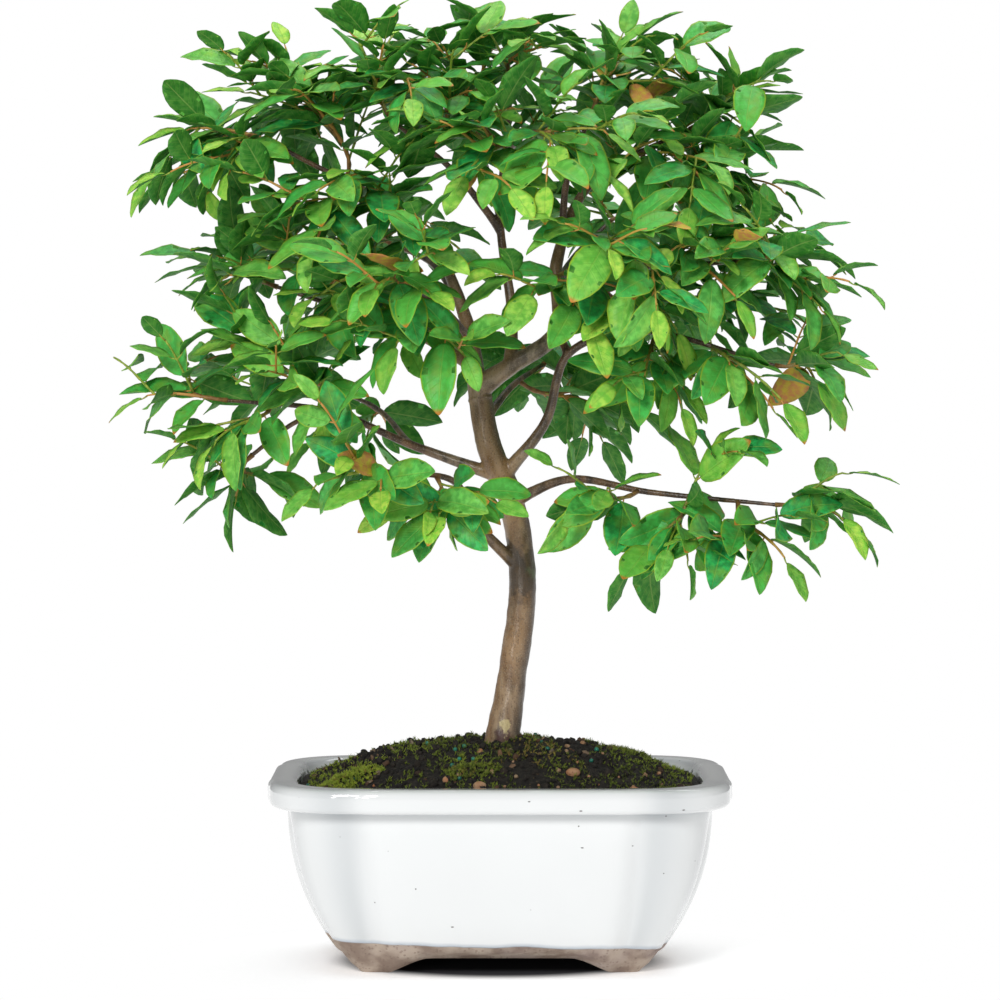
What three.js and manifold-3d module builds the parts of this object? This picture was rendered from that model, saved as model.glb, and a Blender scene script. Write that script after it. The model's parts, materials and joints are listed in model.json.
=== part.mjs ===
// A broad-leaved bonsai in a glazed, lobed pot. Millimetres, +Z up, front facing -Y.
// The origin is at the centre of the pot's footprint, on the surface that it stands on.
import * as THREE from "three";
import { mergeVertices } from "three/addons/utils/BufferGeometryUtils.js";
import Module from "manifold-3d";

const wasm = await Module();
wasm.setup();

// ---------------------------------------------------------------- driving dimensions

const GAP = 0.3; // clearance between neighbouring pieces

const POT_WIDTH = 203; // across the rim, left to right
const POT_DEPTH = 150; // across the rim, front to back
const POT_HEIGHT = 84;
const CORNER_RADIUS = 36; // of the corner lobes at the rim's outermost line
const CORNER_TIGHTENING = 0.7; // how fast that radius falls as the wall leans in
const PANEL_PROUD = 2.4; // how far the flat panels stand out from the corner lobes
const LOBE_CROWN = 1; // how far a corner lobe swells between its two grooves
const WALL = 5;
const WALL_FLARE = 27.5; // how far the wall leans in from under the rim to the ground
const FLARE_POWER = 2.3;
const RIM_WIDTH = 13;
const RIM_HEIGHT = 10.6;
const RIM_OVERHANG = 8.5;
const RIM_ROUND = 2.6; // radius along the rim's upper edge
const RIM_CURL = 3; // radius along its lower edge
const FLOOR_UNDERSIDE = 6.7;
const FLOOR_THICKNESS = 5.8;
const FOOT_LENGTH = 17.5; // a foot's length on the ground, seen from the front
const FOOT_DEPTH = 11; // the same from the side
const ARCH_SPLAY = 17; // how far an arch widens from its flat top to the ground

const DRAIN_RADIUS = 8;
const DRAIN_OFFSET = 34; // from the pot's centre to each drain hole
const SCREEN_SIDE = 26;
const SCREEN_THICKNESS = 1.2;
const SCREEN_OPENING = 3.6;
const SCREEN_PITCH = 5.5;
const WIRE_RADIUS = 0.6;
const CLIP_REACH = 12; // how far a clip's ends lie from the hole's centre
const CLIP_DROP = 0.5; // from the floor's underside down to those ends

const SOIL_EDGE_DROP = 4; // from the rim's top down to the soil's edge
const SOIL_CROWN = 18; // from the soil's edge up to the middle of the mound
const SOIL_LUMP = 1.1;
const SOIL_EDGE_GAP = 1; // from the rim's inner edge to the soil's

const TREE_SPREAD = 340; // tip to tip, left to right
const TREE_DEPTH = 260;
const TREE_RISE = 337; // from the rim's top to the highest leaf
const DRAWN = { spread: 340, depth: 260, rise: 337 }; // the sizes that the routes below are drawn at
const ROOT_COUNT = 6;
const ROOT_SPREAD = 30;
const ROOT_RADIUS = 3.6;

const TWIG_RADIUS = 0.95;
const TWIG_TIP_RADIUS = 0.5;
const TWIG_ARCH = 0.1; // how far a twig arches up, as a share of its length
const TWIG_DEPARTURE = 0.3; // share of its length for which a twig keeps the way that it set out
const TWIG_BEND = 0.62; // share along it where it has turned to its tip
const TWIG_STEPS = 3; // straight stretches in a twig
const FIRST_FORK = 0.3; // where a shoot's first side twig leaves, as a share of the main twig
const FORK_SPACING = 0.15;
const LEAF_LENGTH = 25;
const LEAF_WIDTH_SHARE = 0.47;
const LEAF_THICKNESS = 1;
const LEAF_SPACING = 13; // between pairs along a twig
const LEAFY_SHARE = 0.75; // of a twig's length, counted back from its tip
const LEAF_ANGLE = 0.95; // between twig and leaf, in radians
const ANGLE_SPREAD = 0.5; // from the narrowest angle to the widest
const PAIR_TURNS = [-0.4, 0.5]; // how far even and odd pairs are turned about their twig
const TURN_SPREAD = 0.9;
const LEAF_DROOP = 0.15; // least drop of a leaf's direction
const DROOP_SPREAD = 0.35;
const SMALLEST_LEAF = 0.78; // as a share of the leaf's length
const SIZE_SPREAD = 0.42;
const TIP_LEAF = 0.85; // the leaf at a twig's tip is younger, so it is shorter
const FACING_OUT = 0.65; // pull of a leaf's face away from the crown's centre
const FACING_UP = 0.75; // and towards the light
const FACING_SPREAD = 0.9;
const MOST_LEAVES = 7; // on one shoot, twigs and side twigs together
const CROWN_CENTRE_HEIGHT = 200; // above the rim; leaves face away from this point

// Trunk and limbs. A route's points are [x, y, height above the rim's top, radius].
// A limb grows from its parent. A shoot is [share along the limb, tip, side tips...],
// with each tip as [x, y, height above the rim's top].
const LIMBS = {
  trunk: {
    route: [
      [0, 0, -20, 8], [0, 0, 5, 8.2], [5, 0, 40, 6.5], [10, 0, 85, 6],
      [5, 0, 120, 5.6], [-5, 0, 145, 5.4], [-10, 0, 175, 5],
    ],
    shoots: [],
  },
  left_leader: {
    parent: "trunk",
    route: [[-10, 0, 165, 4], [-15, 5, 200, 3], [-35, 0, 240, 2], [-95, -10, 275, 1]],
    shoots: [
      [1, [-136, -6, 284], [-118, -30, 270], [-128, 22, 268]],
      [0.8, [-90, -28, 304], [-110, -2, 300], [-98, 32, 292]],
      [0.56, [-64, -52, 264], [-88, -44, 250]],
    ],
  },
  upper_left: {
    parent: "left_leader",
    route: [[-10, 5, 180, 3.4], [-40, 10, 195, 2], [-100, 20, 215, 1]],
    shoots: [
      [1, [-126, 24, 222], [-110, 44, 232]],
      [0.75, [-96, -12, 236], [-118, -6, 218]],
      [0.5, [-60, -32, 216], [-80, -46, 210]],
    ],
  },
  left_long: {
    parent: "trunk",
    route: [[0, 0, 130, 3], [-40, 5, 145, 1.9], [-75, -10, 160, 1.4], [-120, -20, 165, 0.9]],
    shoots: [
      [1, [-154, -22, 167], [-138, -2, 178]],
      [0.85, [-122, -52, 148], [-134, -36, 150]],
      [0.64, [-100, -42, 178], [-76, -52, 158], [-112, -16, 190]],
    ],
  },
  left_droop: {
    parent: "left_long",
    route: [[-75, -10, 160, 1.3], [-90, -5, 155, 1.2], [-110, 0, 140, 1]],
    shoots: [[1, [-117, 4, 122], [-100, 16, 130], [-132, 8, 140]]],
  },
  left_low: {
    parent: "trunk",
    route: [[10, 0, 90, 3], [-10, -10, 110, 2.1], [-20, -35, 130, 1.6], [-45, -60, 135, 0.9]],
    shoots: [
      [1, [-78, -74, 130], [-62, -84, 142]],
      [0.76, [-22, -56, 118], [-44, -52, 122]],
    ],
  },
  left_back: {
    parent: "left_long",
    route: [[-40, 5, 145, 1.5], [-55, 35, 160, 1.2], [-80, 60, 170, 0.9]],
    shoots: [
      [1, [-108, 70, 166], [-92, 88, 176]],
      [0.6, [-52, 74, 152], [-84, 48, 146]],
    ],
  },
  right_leader: {
    parent: "trunk",
    route: [
      [-10, 0, 170, 4.6], [5, -5, 180, 4], [25, -5, 195, 3.6],
      [25, 0, 225, 2.8], [40, 10, 260, 2], [85, 15, 285, 1.2],
    ],
    shoots: [
      [1, [102, 8, 300], [108, -12, 284], [84, 26, 306]],
      [0.85, [112, 26, 262], [98, -18, 264]],
      [0.72, [70, -36, 278], [88, -52, 268]],
    ],
  },
  centre_leader: {
    parent: "right_leader",
    route: [[5, -5, 180, 3], [5, 5, 205, 2.4], [0, 10, 245, 1.8], [5, -10, 300, 0.9]],
    shoots: [
      [1, [-6, -14, 328], [18, -28, 318]],
      [0.8, [-30, 16, 324], [-4, 28, 320]],
    ],
  },
  crown_left: {
    parent: "centre_leader",
    route: [[0, 10, 240, 1.9], [-20, 0, 265, 1.5], [-45, -20, 285, 0.9]],
    shoots: [
      [1, [-62, -28, 322], [-76, -8, 312]],
      [0.7, [-20, -38, 316], [-42, -52, 304]],
    ],
  },
  crown_right: {
    parent: "right_leader",
    route: [[25, 0, 235, 1.9], [30, -5, 265, 1.5], [40, -10, 290, 0.9]],
    shoots: [
      [1, [48, -12, 312], [68, -22, 304], [50, 20, 308]],
    ],
  },
  right_canopy: {
    parent: "right_leader",
    route: [[25, 0, 205, 2.5], [45, -15, 220, 1.8], [100, -35, 225, 1]],
    shoots: [
      [1, [128, -40, 216], [122, -16, 240], [118, -58, 228]],
      [0.7, [84, -62, 232], [100, -64, 210]],
      [0.5, [56, -50, 204], [76, -44, 196]],
    ],
  },
  right_rise: {
    parent: "trunk",
    route: [
      [0, 0, 130, 3.2], [20, -5, 155, 2.2], [30, -10, 185, 1.9],
      [60, -20, 195, 1.5], [120, -35, 180, 0.9],
    ],
    shoots: [
      [1, [146, -40, 186], [140, -26, 168]],
      [0.82, [98, -58, 182], [120, -60, 166]],
      [0.66, [62, -52, 176], [78, -42, 164]],
    ],
  },
  right_back: {
    parent: "right_rise",
    route: [[30, -10, 185, 1.8], [25, 5, 200, 1.5], [65, 35, 220, 0.9]],
    shoots: [
      [1, [100, 46, 220], [80, 66, 230]],
      [0.7, [94, 20, 207], [126, 18, 204]],
    ],
  },
  right_low: {
    parent: "trunk",
    route: [[5, 0, 120, 2.8], [30, -10, 130, 1.9], [65, -25, 125, 1.4], [120, -40, 120, 0.9]],
    shoots: [
      [1, [148, -42, 134], [146, -50, 116]],
      [0.86, [122, -56, 98], [100, -56, 106]],
      [0.7, [72, -62, 104], [56, -54, 94], [90, -46, 142]],
      [0.5, [30, -50, 116], [46, -58, 128]],
    ],
  },
  front_left: {
    parent: "left_leader",
    route: [[-15, 5, 190, 1.9], [-25, -30, 205, 1.6], [-40, -60, 215, 0.9]],
    shoots: [
      [1, [-52, -94, 214], [-28, -92, 228]],
      [0.65, [-44, -62, 190], [-16, -58, 186]],
    ],
  },
  front_right: {
    parent: "right_leader",
    route: [[25, -5, 200, 1.9], [30, -35, 220, 1.6], [40, -65, 230, 0.9]],
    shoots: [
      [1, [46, -102, 230], [66, -88, 220]],
      [0.65, [14, -72, 212], [38, -74, 198]],
    ],
  },
  front_crown: {
    parent: "centre_leader",
    route: [[5, 0, 270, 1.5], [10, -30, 280, 1.2], [15, -55, 280, 0.8]],
    shoots: [
      [1, [22, -82, 274], [44, -72, 280]],
      [0.7, [-14, -76, 262], [-22, -60, 284]],
    ],
  },
  back_left: {
    parent: "left_leader",
    route: [[-15, 5, 205, 2], [-30, 40, 225, 1.6], [-50, 70, 235, 1]],
    shoots: [
      [1, [-58, 98, 238], [-34, 94, 246], [-84, 82, 222]],
    ],
  },
  back_right: {
    parent: "right_leader",
    route: [[25, 0, 215, 2], [35, 40, 230, 1.6], [50, 70, 245, 1]],
    shoots: [
      [1, [58, 98, 242], [30, 96, 252], [88, 78, 248]],
    ],
  },
  back_low: {
    parent: "trunk",
    route: [[-5, 0, 155, 2], [5, 30, 170, 1.6], [20, 65, 180, 1]],
    shoots: [
      [1, [28, 94, 184], [-6, 90, 180]],
      [0.6, [46, 62, 160], [62, 78, 176]],
    ],
  },
  back_crown: {
    parent: "centre_leader",
    route: [[0, 10, 245, 1.5], [-5, 35, 265, 1.2], [-10, 60, 285, 0.8]],
    shoots: [
      [1, [-14, 86, 290], [-46, 66, 298]],
      [0.7, [28, 64, 296], [50, 48, 292]],
    ],
  },
};

const MOSS = [
  // [x and y as shares of the soil's half sizes, length, width, height]
  ["moss_patch_front_left", -0.72, -0.52, 34, 17, 5],
  ["moss_patch_front", -0.14, -0.72, 26, 12, 3.5],
  ["moss_patch_right", 0.62, 0.1, 28, 20, 4],
  ["moss_patch_back", -0.2, 0.6, 36, 18, 4.5],
];
const PEBBLES = [
  ["pebble_left", -0.1, -0.92, 6.2],
  ["pebble_middle", 0.36, -0.72, 7],
  ["pebble_right", 0.66, -0.8, 5.6],
];

const FINISH = {
  glaze: new THREE.MeshStandardMaterial({ color: 0xf3f4f2, roughness: 0.12 }),
  soil: new THREE.MeshStandardMaterial({ color: 0x2b221b, roughness: 0.95 }),
  bark: new THREE.MeshStandardMaterial({ color: 0x86674e, roughness: 0.7 }),
  leaf: new THREE.MeshStandardMaterial({ color: 0x2a9440, roughness: 0.45 }),
  moss: new THREE.MeshStandardMaterial({ color: 0x83942c, roughness: 0.95 }),
  stone: new THREE.MeshStandardMaterial({ color: 0xb08458, roughness: 0.8 }),
  plastic: new THREE.MeshStandardMaterial({ color: 0x1e1f1e, roughness: 0.5 }),
  wire: new THREE.MeshStandardMaterial({ color: 0xb5b1a8, roughness: 0.35, metalness: 1 }),
};

// ---------------------------------------------------------------- solids

// A closed three.js geometry as a solid that can be joined and cut.
function solidOf(geometry) {
  geometry.deleteAttribute("normal");
  geometry.deleteAttribute("uv");
  const merged = mergeVertices(geometry, 1e-4);
  return new wasm.Manifold(
    new wasm.Mesh({
      numProp: 3,
      vertProperties: merged.attributes.position.array,
      triVerts: new Uint32Array(merged.index.array),
    }),
  );
}

// A skin over rings with equal numbers of points, closed at both ends by a fan about a middle point.
// The rings run anticlockwise as seen from the end towards which they are stacked.
function loft(rings, first, last) {
  const count = rings[0].length;
  const points = [...rings.flat(), first, last];
  const [firstIndex, lastIndex] = [points.length - 2, points.length - 1];
  const faces = [];
  for (let ring = 0; ring < rings.length; ring += 1) {
    for (let i = 0; i < count; i += 1) {
      const here = ring * count + i;
      const next = ring * count + ((i + 1) % count);
      if (ring === 0) faces.push(firstIndex, next, here);
      if (ring === rings.length - 1) faces.push(lastIndex, here, next);
      else faces.push(here, next, next + count, here, next + count, here + count);
    }
  }
  return new THREE.BufferGeometry().setFromPoints(points).setIndex(faces);
}

// A round tube along a curve. radiusAt takes the curve's own parameter, from 0 to 1.
function tube(curve, radiusAt, steps, sides) {
  const frames = curve.computeFrenetFrames(steps);
  const rings = [];
  for (let step = 0; step <= steps; step += 1) {
    const centre = curve.getPointAt(step / steps);
    const radius = radiusAt(curve.getUtoTmapping(step / steps));
    const ring = [];
    for (let side = 0; side < sides; side += 1) {
      const turn = (2 * Math.PI * side) / sides;
      const across = frames.normals[step].clone().multiplyScalar(Math.cos(turn) * radius);
      ring.push(across.addScaledVector(frames.binormals[step], Math.sin(turn) * radius).add(centre));
    }
    rings.push(ring);
  }
  return solidOf(loft(rings, curve.getPointAt(0), curve.getPointAt(1)));
}

function cylinder(radius, bottom, top, x, y) {
  const geometry = new THREE.CylinderGeometry(radius, radius, top - bottom, 20);
  return solidOf(geometry.rotateX(Math.PI / 2).translate(x, y, (bottom + top) / 2));
}

function box(width, depth, bottom, top, x, y) {
  const geometry = new THREE.BoxGeometry(width, depth, top - bottom);
  return solidOf(geometry.translate(x, y, (bottom + top) / 2));
}

function meshOf(name, solid, material) {
  const { vertProperties, triVerts } = solid.getMesh();
  const geometry = new THREE.BufferGeometry();
  geometry.setAttribute("position", new THREE.BufferAttribute(vertProperties, 3));
  geometry.setIndex(new THREE.BufferAttribute(triVerts, 1));
  geometry.computeVertexNormals();
  const mesh = new THREE.Mesh(geometry, material.clone());
  mesh.name = name;
  return mesh;
}

// ---------------------------------------------------------------- pot

const RIM_UNDERSIDE = POT_HEIGHT - RIM_HEIGHT;
const FLOOR_TOP = FLOOR_UNDERSIDE + FLOOR_THICKNESS;
const PANEL_POINTS = 6; // on each of the four panels
const CORNER_POINTS = 4; // on each of the four corner lobes

// The pot's plan at one height: four proud panels between four corner lobes.
// inset is the distance from the rim's outermost line in to this one.
function plan(inset, height) {
  const halfWidth = POT_WIDTH / 2 - PANEL_PROUD - inset;
  const halfDepth = POT_DEPTH / 2 - PANEL_PROUD - inset;
  const corner = CORNER_RADIUS - CORNER_TIGHTENING * inset;
  const points = [];
  for (let quarter = 0; quarter < 4; quarter += 1) {
    const turned = quarter % 2 === 1;
    const reach = turned ? halfDepth : halfWidth;
    const panelHalf = (turned ? halfWidth : halfDepth) - corner;
    const ring = [];
    for (let i = 0; i < PANEL_POINTS; i += 1) {
      const along = Math.sin(((i + 0.5) / PANEL_POINTS - 0.5) * Math.PI);
      ring.push([reach + PANEL_PROUD * (1 - along ** 8), along * panelHalf]);
    }
    for (let i = 0; i <= CORNER_POINTS; i += 1) {
      const turn = (i / CORNER_POINTS) * (Math.PI / 2);
      const radius = corner + LOBE_CROWN * Math.sin(2 * turn);
      ring.push([reach - corner + radius * Math.cos(turn), panelHalf + radius * Math.sin(turn)]);
    }
    const spin = (quarter * Math.PI) / 2;
    for (const [out, along] of ring) {
      const x = out * Math.cos(spin) - along * Math.sin(spin);
      const y = out * Math.sin(spin) + along * Math.cos(spin);
      points.push(new THREE.Vector3(x, y, height));
    }
  }
  return points;
}

// How far the wall's outer face is inside the rim's outermost line at a height.
function wallInset(height) {
  return RIM_OVERHANG + WALL_FLARE * (1 - height / RIM_UNDERSIDE) ** FLARE_POWER;
}

// The opening between two feet, as a solid that runs right through the pot.
function archCutter(groundHalf, length) {
  const topHalf = groundHalf - ARCH_SPLAY;
  const below = -10;
  const outline = new THREE.Shape();
  outline.moveTo(-groundHalf, below);
  outline.lineTo(groundHalf, below);
  outline.lineTo(groundHalf, 0);
  outline.quadraticCurveTo(topHalf + ARCH_SPLAY / 4, FLOOR_UNDERSIDE, topHalf, FLOOR_UNDERSIDE);
  outline.lineTo(-topHalf, FLOOR_UNDERSIDE);
  outline.quadraticCurveTo(-topHalf - ARCH_SPLAY / 4, FLOOR_UNDERSIDE, -groundHalf, 0);
  const settings = { depth: length, bevelEnabled: false, curveSegments: 4 };
  const geometry = new THREE.ExtrudeGeometry(outline, settings);
  return geometry.translate(0, 0, -length / 2).rotateX(Math.PI / 2);
}

function makePot() {
  const outerHeights = [0, 7, 16, 29, 47, RIM_UNDERSIDE];
  const innerHeights = [47, 29, FLOOR_TOP];
  const rings = outerHeights.map((height) => plan(wallInset(height), height));
  const rimSteps = 2;
  for (let i = 0; i <= rimSteps; i += 1) {
    const turn = (i / rimSteps) * (Math.PI / 2);
    const curl = RIM_CURL * Math.sin(turn);
    rings.push(plan(RIM_CURL - curl, RIM_UNDERSIDE + curl));
  }
  for (let i = 0; i <= rimSteps; i += 1) {
    const turn = (i / rimSteps) * (Math.PI / 2);
    const inset = RIM_ROUND * (1 - Math.cos(turn));
    rings.push(plan(inset, POT_HEIGHT - RIM_ROUND * (1 - Math.sin(turn))));
  }
  rings.push(plan(RIM_WIDTH - RIM_ROUND, POT_HEIGHT), plan(RIM_WIDTH, POT_HEIGHT - RIM_ROUND));
  for (const height of innerHeights) rings.push(plan(wallInset(height) + WALL, height));
  const body = solidOf(loft(rings, new THREE.Vector3(0, 0, 0), new THREE.Vector3(0, 0, FLOOR_TOP)));

  const halfWidth = POT_WIDTH / 2 - wallInset(0);
  const halfDepth = POT_DEPTH / 2 - wallInset(0);
  const frontArch = solidOf(archCutter(halfWidth - FOOT_LENGTH, 2 * POT_DEPTH));
  const sideArch = solidOf(archCutter(halfDepth - FOOT_DEPTH, 2 * POT_WIDTH).rotateZ(Math.PI / 2));
  let pot = body.subtract(frontArch).subtract(sideArch);
  for (const x of [-DRAIN_OFFSET, DRAIN_OFFSET]) {
    pot = pot.subtract(cylinder(DRAIN_RADIUS, 0, 2 * FLOOR_TOP, x, 0));
  }
  return pot;
}

// ---------------------------------------------------------------- drain screens and clips

const SCREEN_BOTTOM = FLOOR_TOP + GAP;
const CLIP_TOP = SCREEN_BOTTOM + SCREEN_THICKNESS + GAP + WIRE_RADIUS;

function makeScreen(x) {
  let screen = box(SCREEN_SIDE, SCREEN_SIDE, SCREEN_BOTTOM, SCREEN_BOTTOM + SCREEN_THICKNESS, x, 0);
  for (const column of [-1, 0, 1]) {
    for (const row of [-1, 0, 1]) {
      const centre = [x + column * SCREEN_PITCH, row * SCREEN_PITCH];
      screen = screen.subtract(box(SCREEN_OPENING, SCREEN_OPENING, 0, 2 * SCREEN_BOTTOM, ...centre));
    }
  }
  return screen;
}

// A clip's wire bridges the screen, goes down through its openings and turns out under the floor.
function makeClip(x) {
  const low = FLOOR_UNDERSIDE - CLIP_DROP - WIRE_RADIUS;
  const bend = 2 * WIRE_RADIUS;
  const half = [
    [SCREEN_PITCH - bend, CLIP_TOP], [SCREEN_PITCH, CLIP_TOP - bend],
    [SCREEN_PITCH, low + bend], [SCREEN_PITCH + bend, low], [CLIP_REACH, low],
  ];
  const left = half.map(([reach, height]) => new THREE.Vector3(x - reach, 0, height)).reverse();
  const right = half.map(([reach, height]) => new THREE.Vector3(x + reach, 0, height));
  const route = new THREE.CatmullRomCurve3([...left, ...right]);
  return tube(route, () => WIRE_RADIUS, 22, 5);
}

// ---------------------------------------------------------------- soil and what lies on it

const SOIL_INSET = RIM_WIDTH + SOIL_EDGE_GAP;
const SOIL_HALF_WIDTH = POT_WIDTH / 2 - SOIL_INSET;
const SOIL_HALF_DEPTH = POT_DEPTH / 2 - SOIL_INSET;
const SOIL_EDGE = POT_HEIGHT - SOIL_EDGE_DROP;

function soilHeight(x, y) {
  const away = (x / SOIL_HALF_WIDTH) ** 2 + (y / SOIL_HALF_DEPTH) ** 2;
  const crown = SOIL_CROWN * Math.max(0, 1 - away ** 1.2);
  const lumps = SOIL_LUMP * Math.sin(x / 8 + 1) * Math.cos(y / 7 + x / 23);
  return SOIL_EDGE + crown + lumps * Math.max(0, 1 - away);
}

// The soil's outer shape; lift raises its upper surface, to leave clearance under what lies on it.
function soilBody(lift) {
  const rings = [FLOOR_TOP + GAP, 29, 47].map((height) => plan(wallInset(height) + WALL + GAP, height));
  rings.push(plan(SOIL_INSET, SOIL_EDGE + lift));
  for (const share of [0.84, 0.64, 0.44, 0.22]) {
    const ring = plan(SOIL_INSET, lift).map(({ x, y, z }) => new THREE.Vector3(x * share, y * share, z));
    for (const point of ring) point.z += soilHeight(point.x, point.y);
    rings.push(ring);
  }
  const bottom = new THREE.Vector3(0, 0, FLOOR_TOP + GAP);
  return solidOf(loft(rings, bottom, new THREE.Vector3(0, 0, soilHeight(0, 0) + lift)));
}

function makeSoil(rootsWithClearance) {
  let soil = soilBody(0).subtract(rootsWithClearance);
  for (const x of [-DRAIN_OFFSET, DRAIN_OFFSET]) {
    const side = SCREEN_SIDE + 2 * GAP;
    soil = soil.subtract(box(side, side, 0, CLIP_TOP + 2 * WIRE_RADIUS + GAP, x, 0));
  }
  return soil;
}

// A lump that rests on the soil: a squashed ball with the soil's shape cut out of its underside.
function makeLump(shareX, shareY, length, width, height, segments, raisedSoil) {
  const [x, y] = [shareX * SOIL_HALF_WIDTH, shareY * SOIL_HALF_DEPTH];
  const ball = new THREE.SphereGeometry(1, 2 * segments, segments).scale(length / 2, width / 2, height);
  return solidOf(ball.translate(x, y, soilHeight(x, y) + GAP)).subtract(raisedSoil);
}

// ---------------------------------------------------------------- trunk and limbs

const THICK_LIMB = 2; // start radius above which a limb has an extra side
const AXIS_SAMPLES = 200; // points tried along a parent's axis for a limb's start

function treePoint([x, y, height]) {
  return new THREE.Vector3(
    (x * TREE_SPREAD) / DRAWN.spread,
    (y * TREE_DEPTH) / DRAWN.depth,
    POT_HEIGHT + (height * TREE_RISE) / DRAWN.rise,
  );
}

// Each limb's curve. Its first point is moved onto the axis of the wood that it grows from.
const curves = new Map();
for (const limb of Object.values(LIMBS)) {
  const points = limb.route.map(treePoint);
  if (limb.parent) {
    const axis = curves.get(LIMBS[limb.parent]).getPoints(AXIS_SAMPLES);
    const distances = axis.map((point) => point.distanceTo(points[0]));
    points[0] = axis[distances.indexOf(Math.min(...distances))];
  }
  curves.set(limb, new THREE.CatmullRomCurve3(points));
}

function limbRadius(limb, at) {
  const place = at * (limb.route.length - 1);
  const before = Math.min(Math.floor(place), limb.route.length - 2);
  return THREE.MathUtils.lerp(limb.route[before][3], limb.route[before + 1][3], place - before);
}

function limbTube(limb, clearance) {
  const steps = limb === LIMBS.trunk ? 18 : limb.route.length + 2;
  const limbSides = limb.route[0][3] > THICK_LIMB ? 5 : 4;
  const sides = limb === LIMBS.trunk ? 9 : limbSides;
  return tube(curves.get(limb), (at) => limbRadius(limb, at) + clearance, steps, sides);
}

// Roots leave the trunk's foot under the soil and dive outwards.
function rootTube(index, clearance) {
  const turn = (2 * Math.PI * (index + 0.3)) / ROOT_COUNT;
  const [cosine, sine] = [Math.cos(turn), Math.sin(turn)];
  const points = [[0.1, 8], [0.35, 12], [0.7, 20], [1, 32]].map(([share, depth]) => {
    const reach = share * ROOT_SPREAD;
    return new THREE.Vector3(cosine * reach, sine * reach, POT_HEIGHT - depth);
  });
  const taper = (at) => ROOT_RADIUS * (1 - 0.6 * at) + clearance;
  return tube(new THREE.CatmullRomCurve3(points), taper, 3, 5);
}

function joined(solids) {
  return solids.reduce((whole, solid) => whole.add(solid));
}

function makeRoots(clearance) {
  const roots = Array.from({ length: ROOT_COUNT }, (_, index) => rootTube(index, clearance));
  return joined([limbTube(LIMBS.trunk, clearance), ...roots]);
}

// ---------------------------------------------------------------- leafy shoots

// Repeatable draws from 0 to 1; each shoot has its own run of them.
function drawsFrom(seed) {
  let state = (seed * 7919 + 104729) % 4294967296;
  return () => {
    state = (state * 1664525 + 1013904223) % 4294967296;
    return state / 4294967296;
  };
}

// A young twig leaves the wood at a right angle to it, then arches over to its tip.
function twigCurve(start, leaving, tip) {
  const length = start.distanceTo(tip);
  const early = start.clone().addScaledVector(leaving, TWIG_DEPARTURE * length);
  const late = start.clone().lerp(tip, TWIG_BEND);
  late.z += TWIG_ARCH * length;
  return new THREE.CubicBezierCurve3(start, early, late, tip);
}

// Where a shoot starts on its limb, just clear of the bark, and the direction in which it leaves.
function shootStart(limb, share, tip) {
  const curve = curves.get(limb);
  const at = curve.getUtoTmapping(share);
  const axis = curve.getPointAt(share);
  const along = curve.getTangentAt(share);
  if (share === 1) return { start: axis.addScaledVector(along, GAP), leaving: along };
  const leaving = tip.clone().sub(axis).projectOnPlane(along).normalize();
  return { start: axis.addScaledVector(leaving, limbRadius(limb, at) + GAP), leaving };
}

function twigTube(curve) {
  const taper = (at) => THREE.MathUtils.lerp(TWIG_RADIUS, TWIG_TIP_RADIUS, at);
  return tube(curve, taper, TWIG_STEPS, 3);
}

// A point on a twig's axis as the tube has it, which is straight from one ring to the next.
function onTwig(curve, share) {
  const step = Math.min(Math.floor(share * TWIG_STEPS), TWIG_STEPS - 1);
  const [from, to] = [step, step + 1].map((end) => curve.getPointAt(end / TWIG_STEPS));
  return from.lerp(to, share * TWIG_STEPS - step);
}

// Places for a twig's leaves: opposite pairs along its leafy share, and one at the tip.
function leafPlaces(curve, draw) {
  const pairs = Math.max(2, Math.round((LEAFY_SHARE * curve.getLength()) / LEAF_SPACING));
  const crown = new THREE.Vector3(0, 0, POT_HEIGHT + CROWN_CENTRE_HEIGHT);
  const places = [];
  for (let pair = 0; pair <= pairs; pair += 1) {
    const share = 1 - (LEAFY_SHARE * (pairs - pair)) / pairs;
    const along = curve.getTangentAt(share);
    const base = onTwig(curve, share);
    const sideways = along.clone().cross(new THREE.Vector3(0, 0, 1)).normalize();
    for (const hand of pair === pairs ? [0] : [-1, 1]) {
      const [roll, spread, size, lean, twist] = [draw(), draw(), draw(), draw(), draw()];
      const turn = PAIR_TURNS[pair % 2] + TURN_SPREAD * (roll - 0.5);
      const side = sideways.clone().applyAxisAngle(along, turn);
      const angle = LEAF_ANGLE + ANGLE_SPREAD * (spread - 0.5);
      const direction = along.clone().multiplyScalar(hand ? Math.cos(angle) : 1);
      direction.addScaledVector(side, hand * Math.sin(angle));
      direction.z -= LEAF_DROOP + DROOP_SPREAD * lean;
      direction.normalize();
      const facing = base.clone().sub(crown).setLength(FACING_OUT);
      const [tiltX, tiltY] = [FACING_SPREAD * (twist - 0.5), FACING_SPREAD * (roll - 0.5)];
      facing.add(new THREE.Vector3(tiltX, tiltY, FACING_UP));
      facing.projectOnPlane(direction).normalize();
      const length = LEAF_LENGTH * (SMALLEST_LEAF + SIZE_SPREAD * size) * (pair === pairs ? TIP_LEAF : 1);
      places.push({ base, direction, facing, length });
    }
  }
  return places;
}

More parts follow.
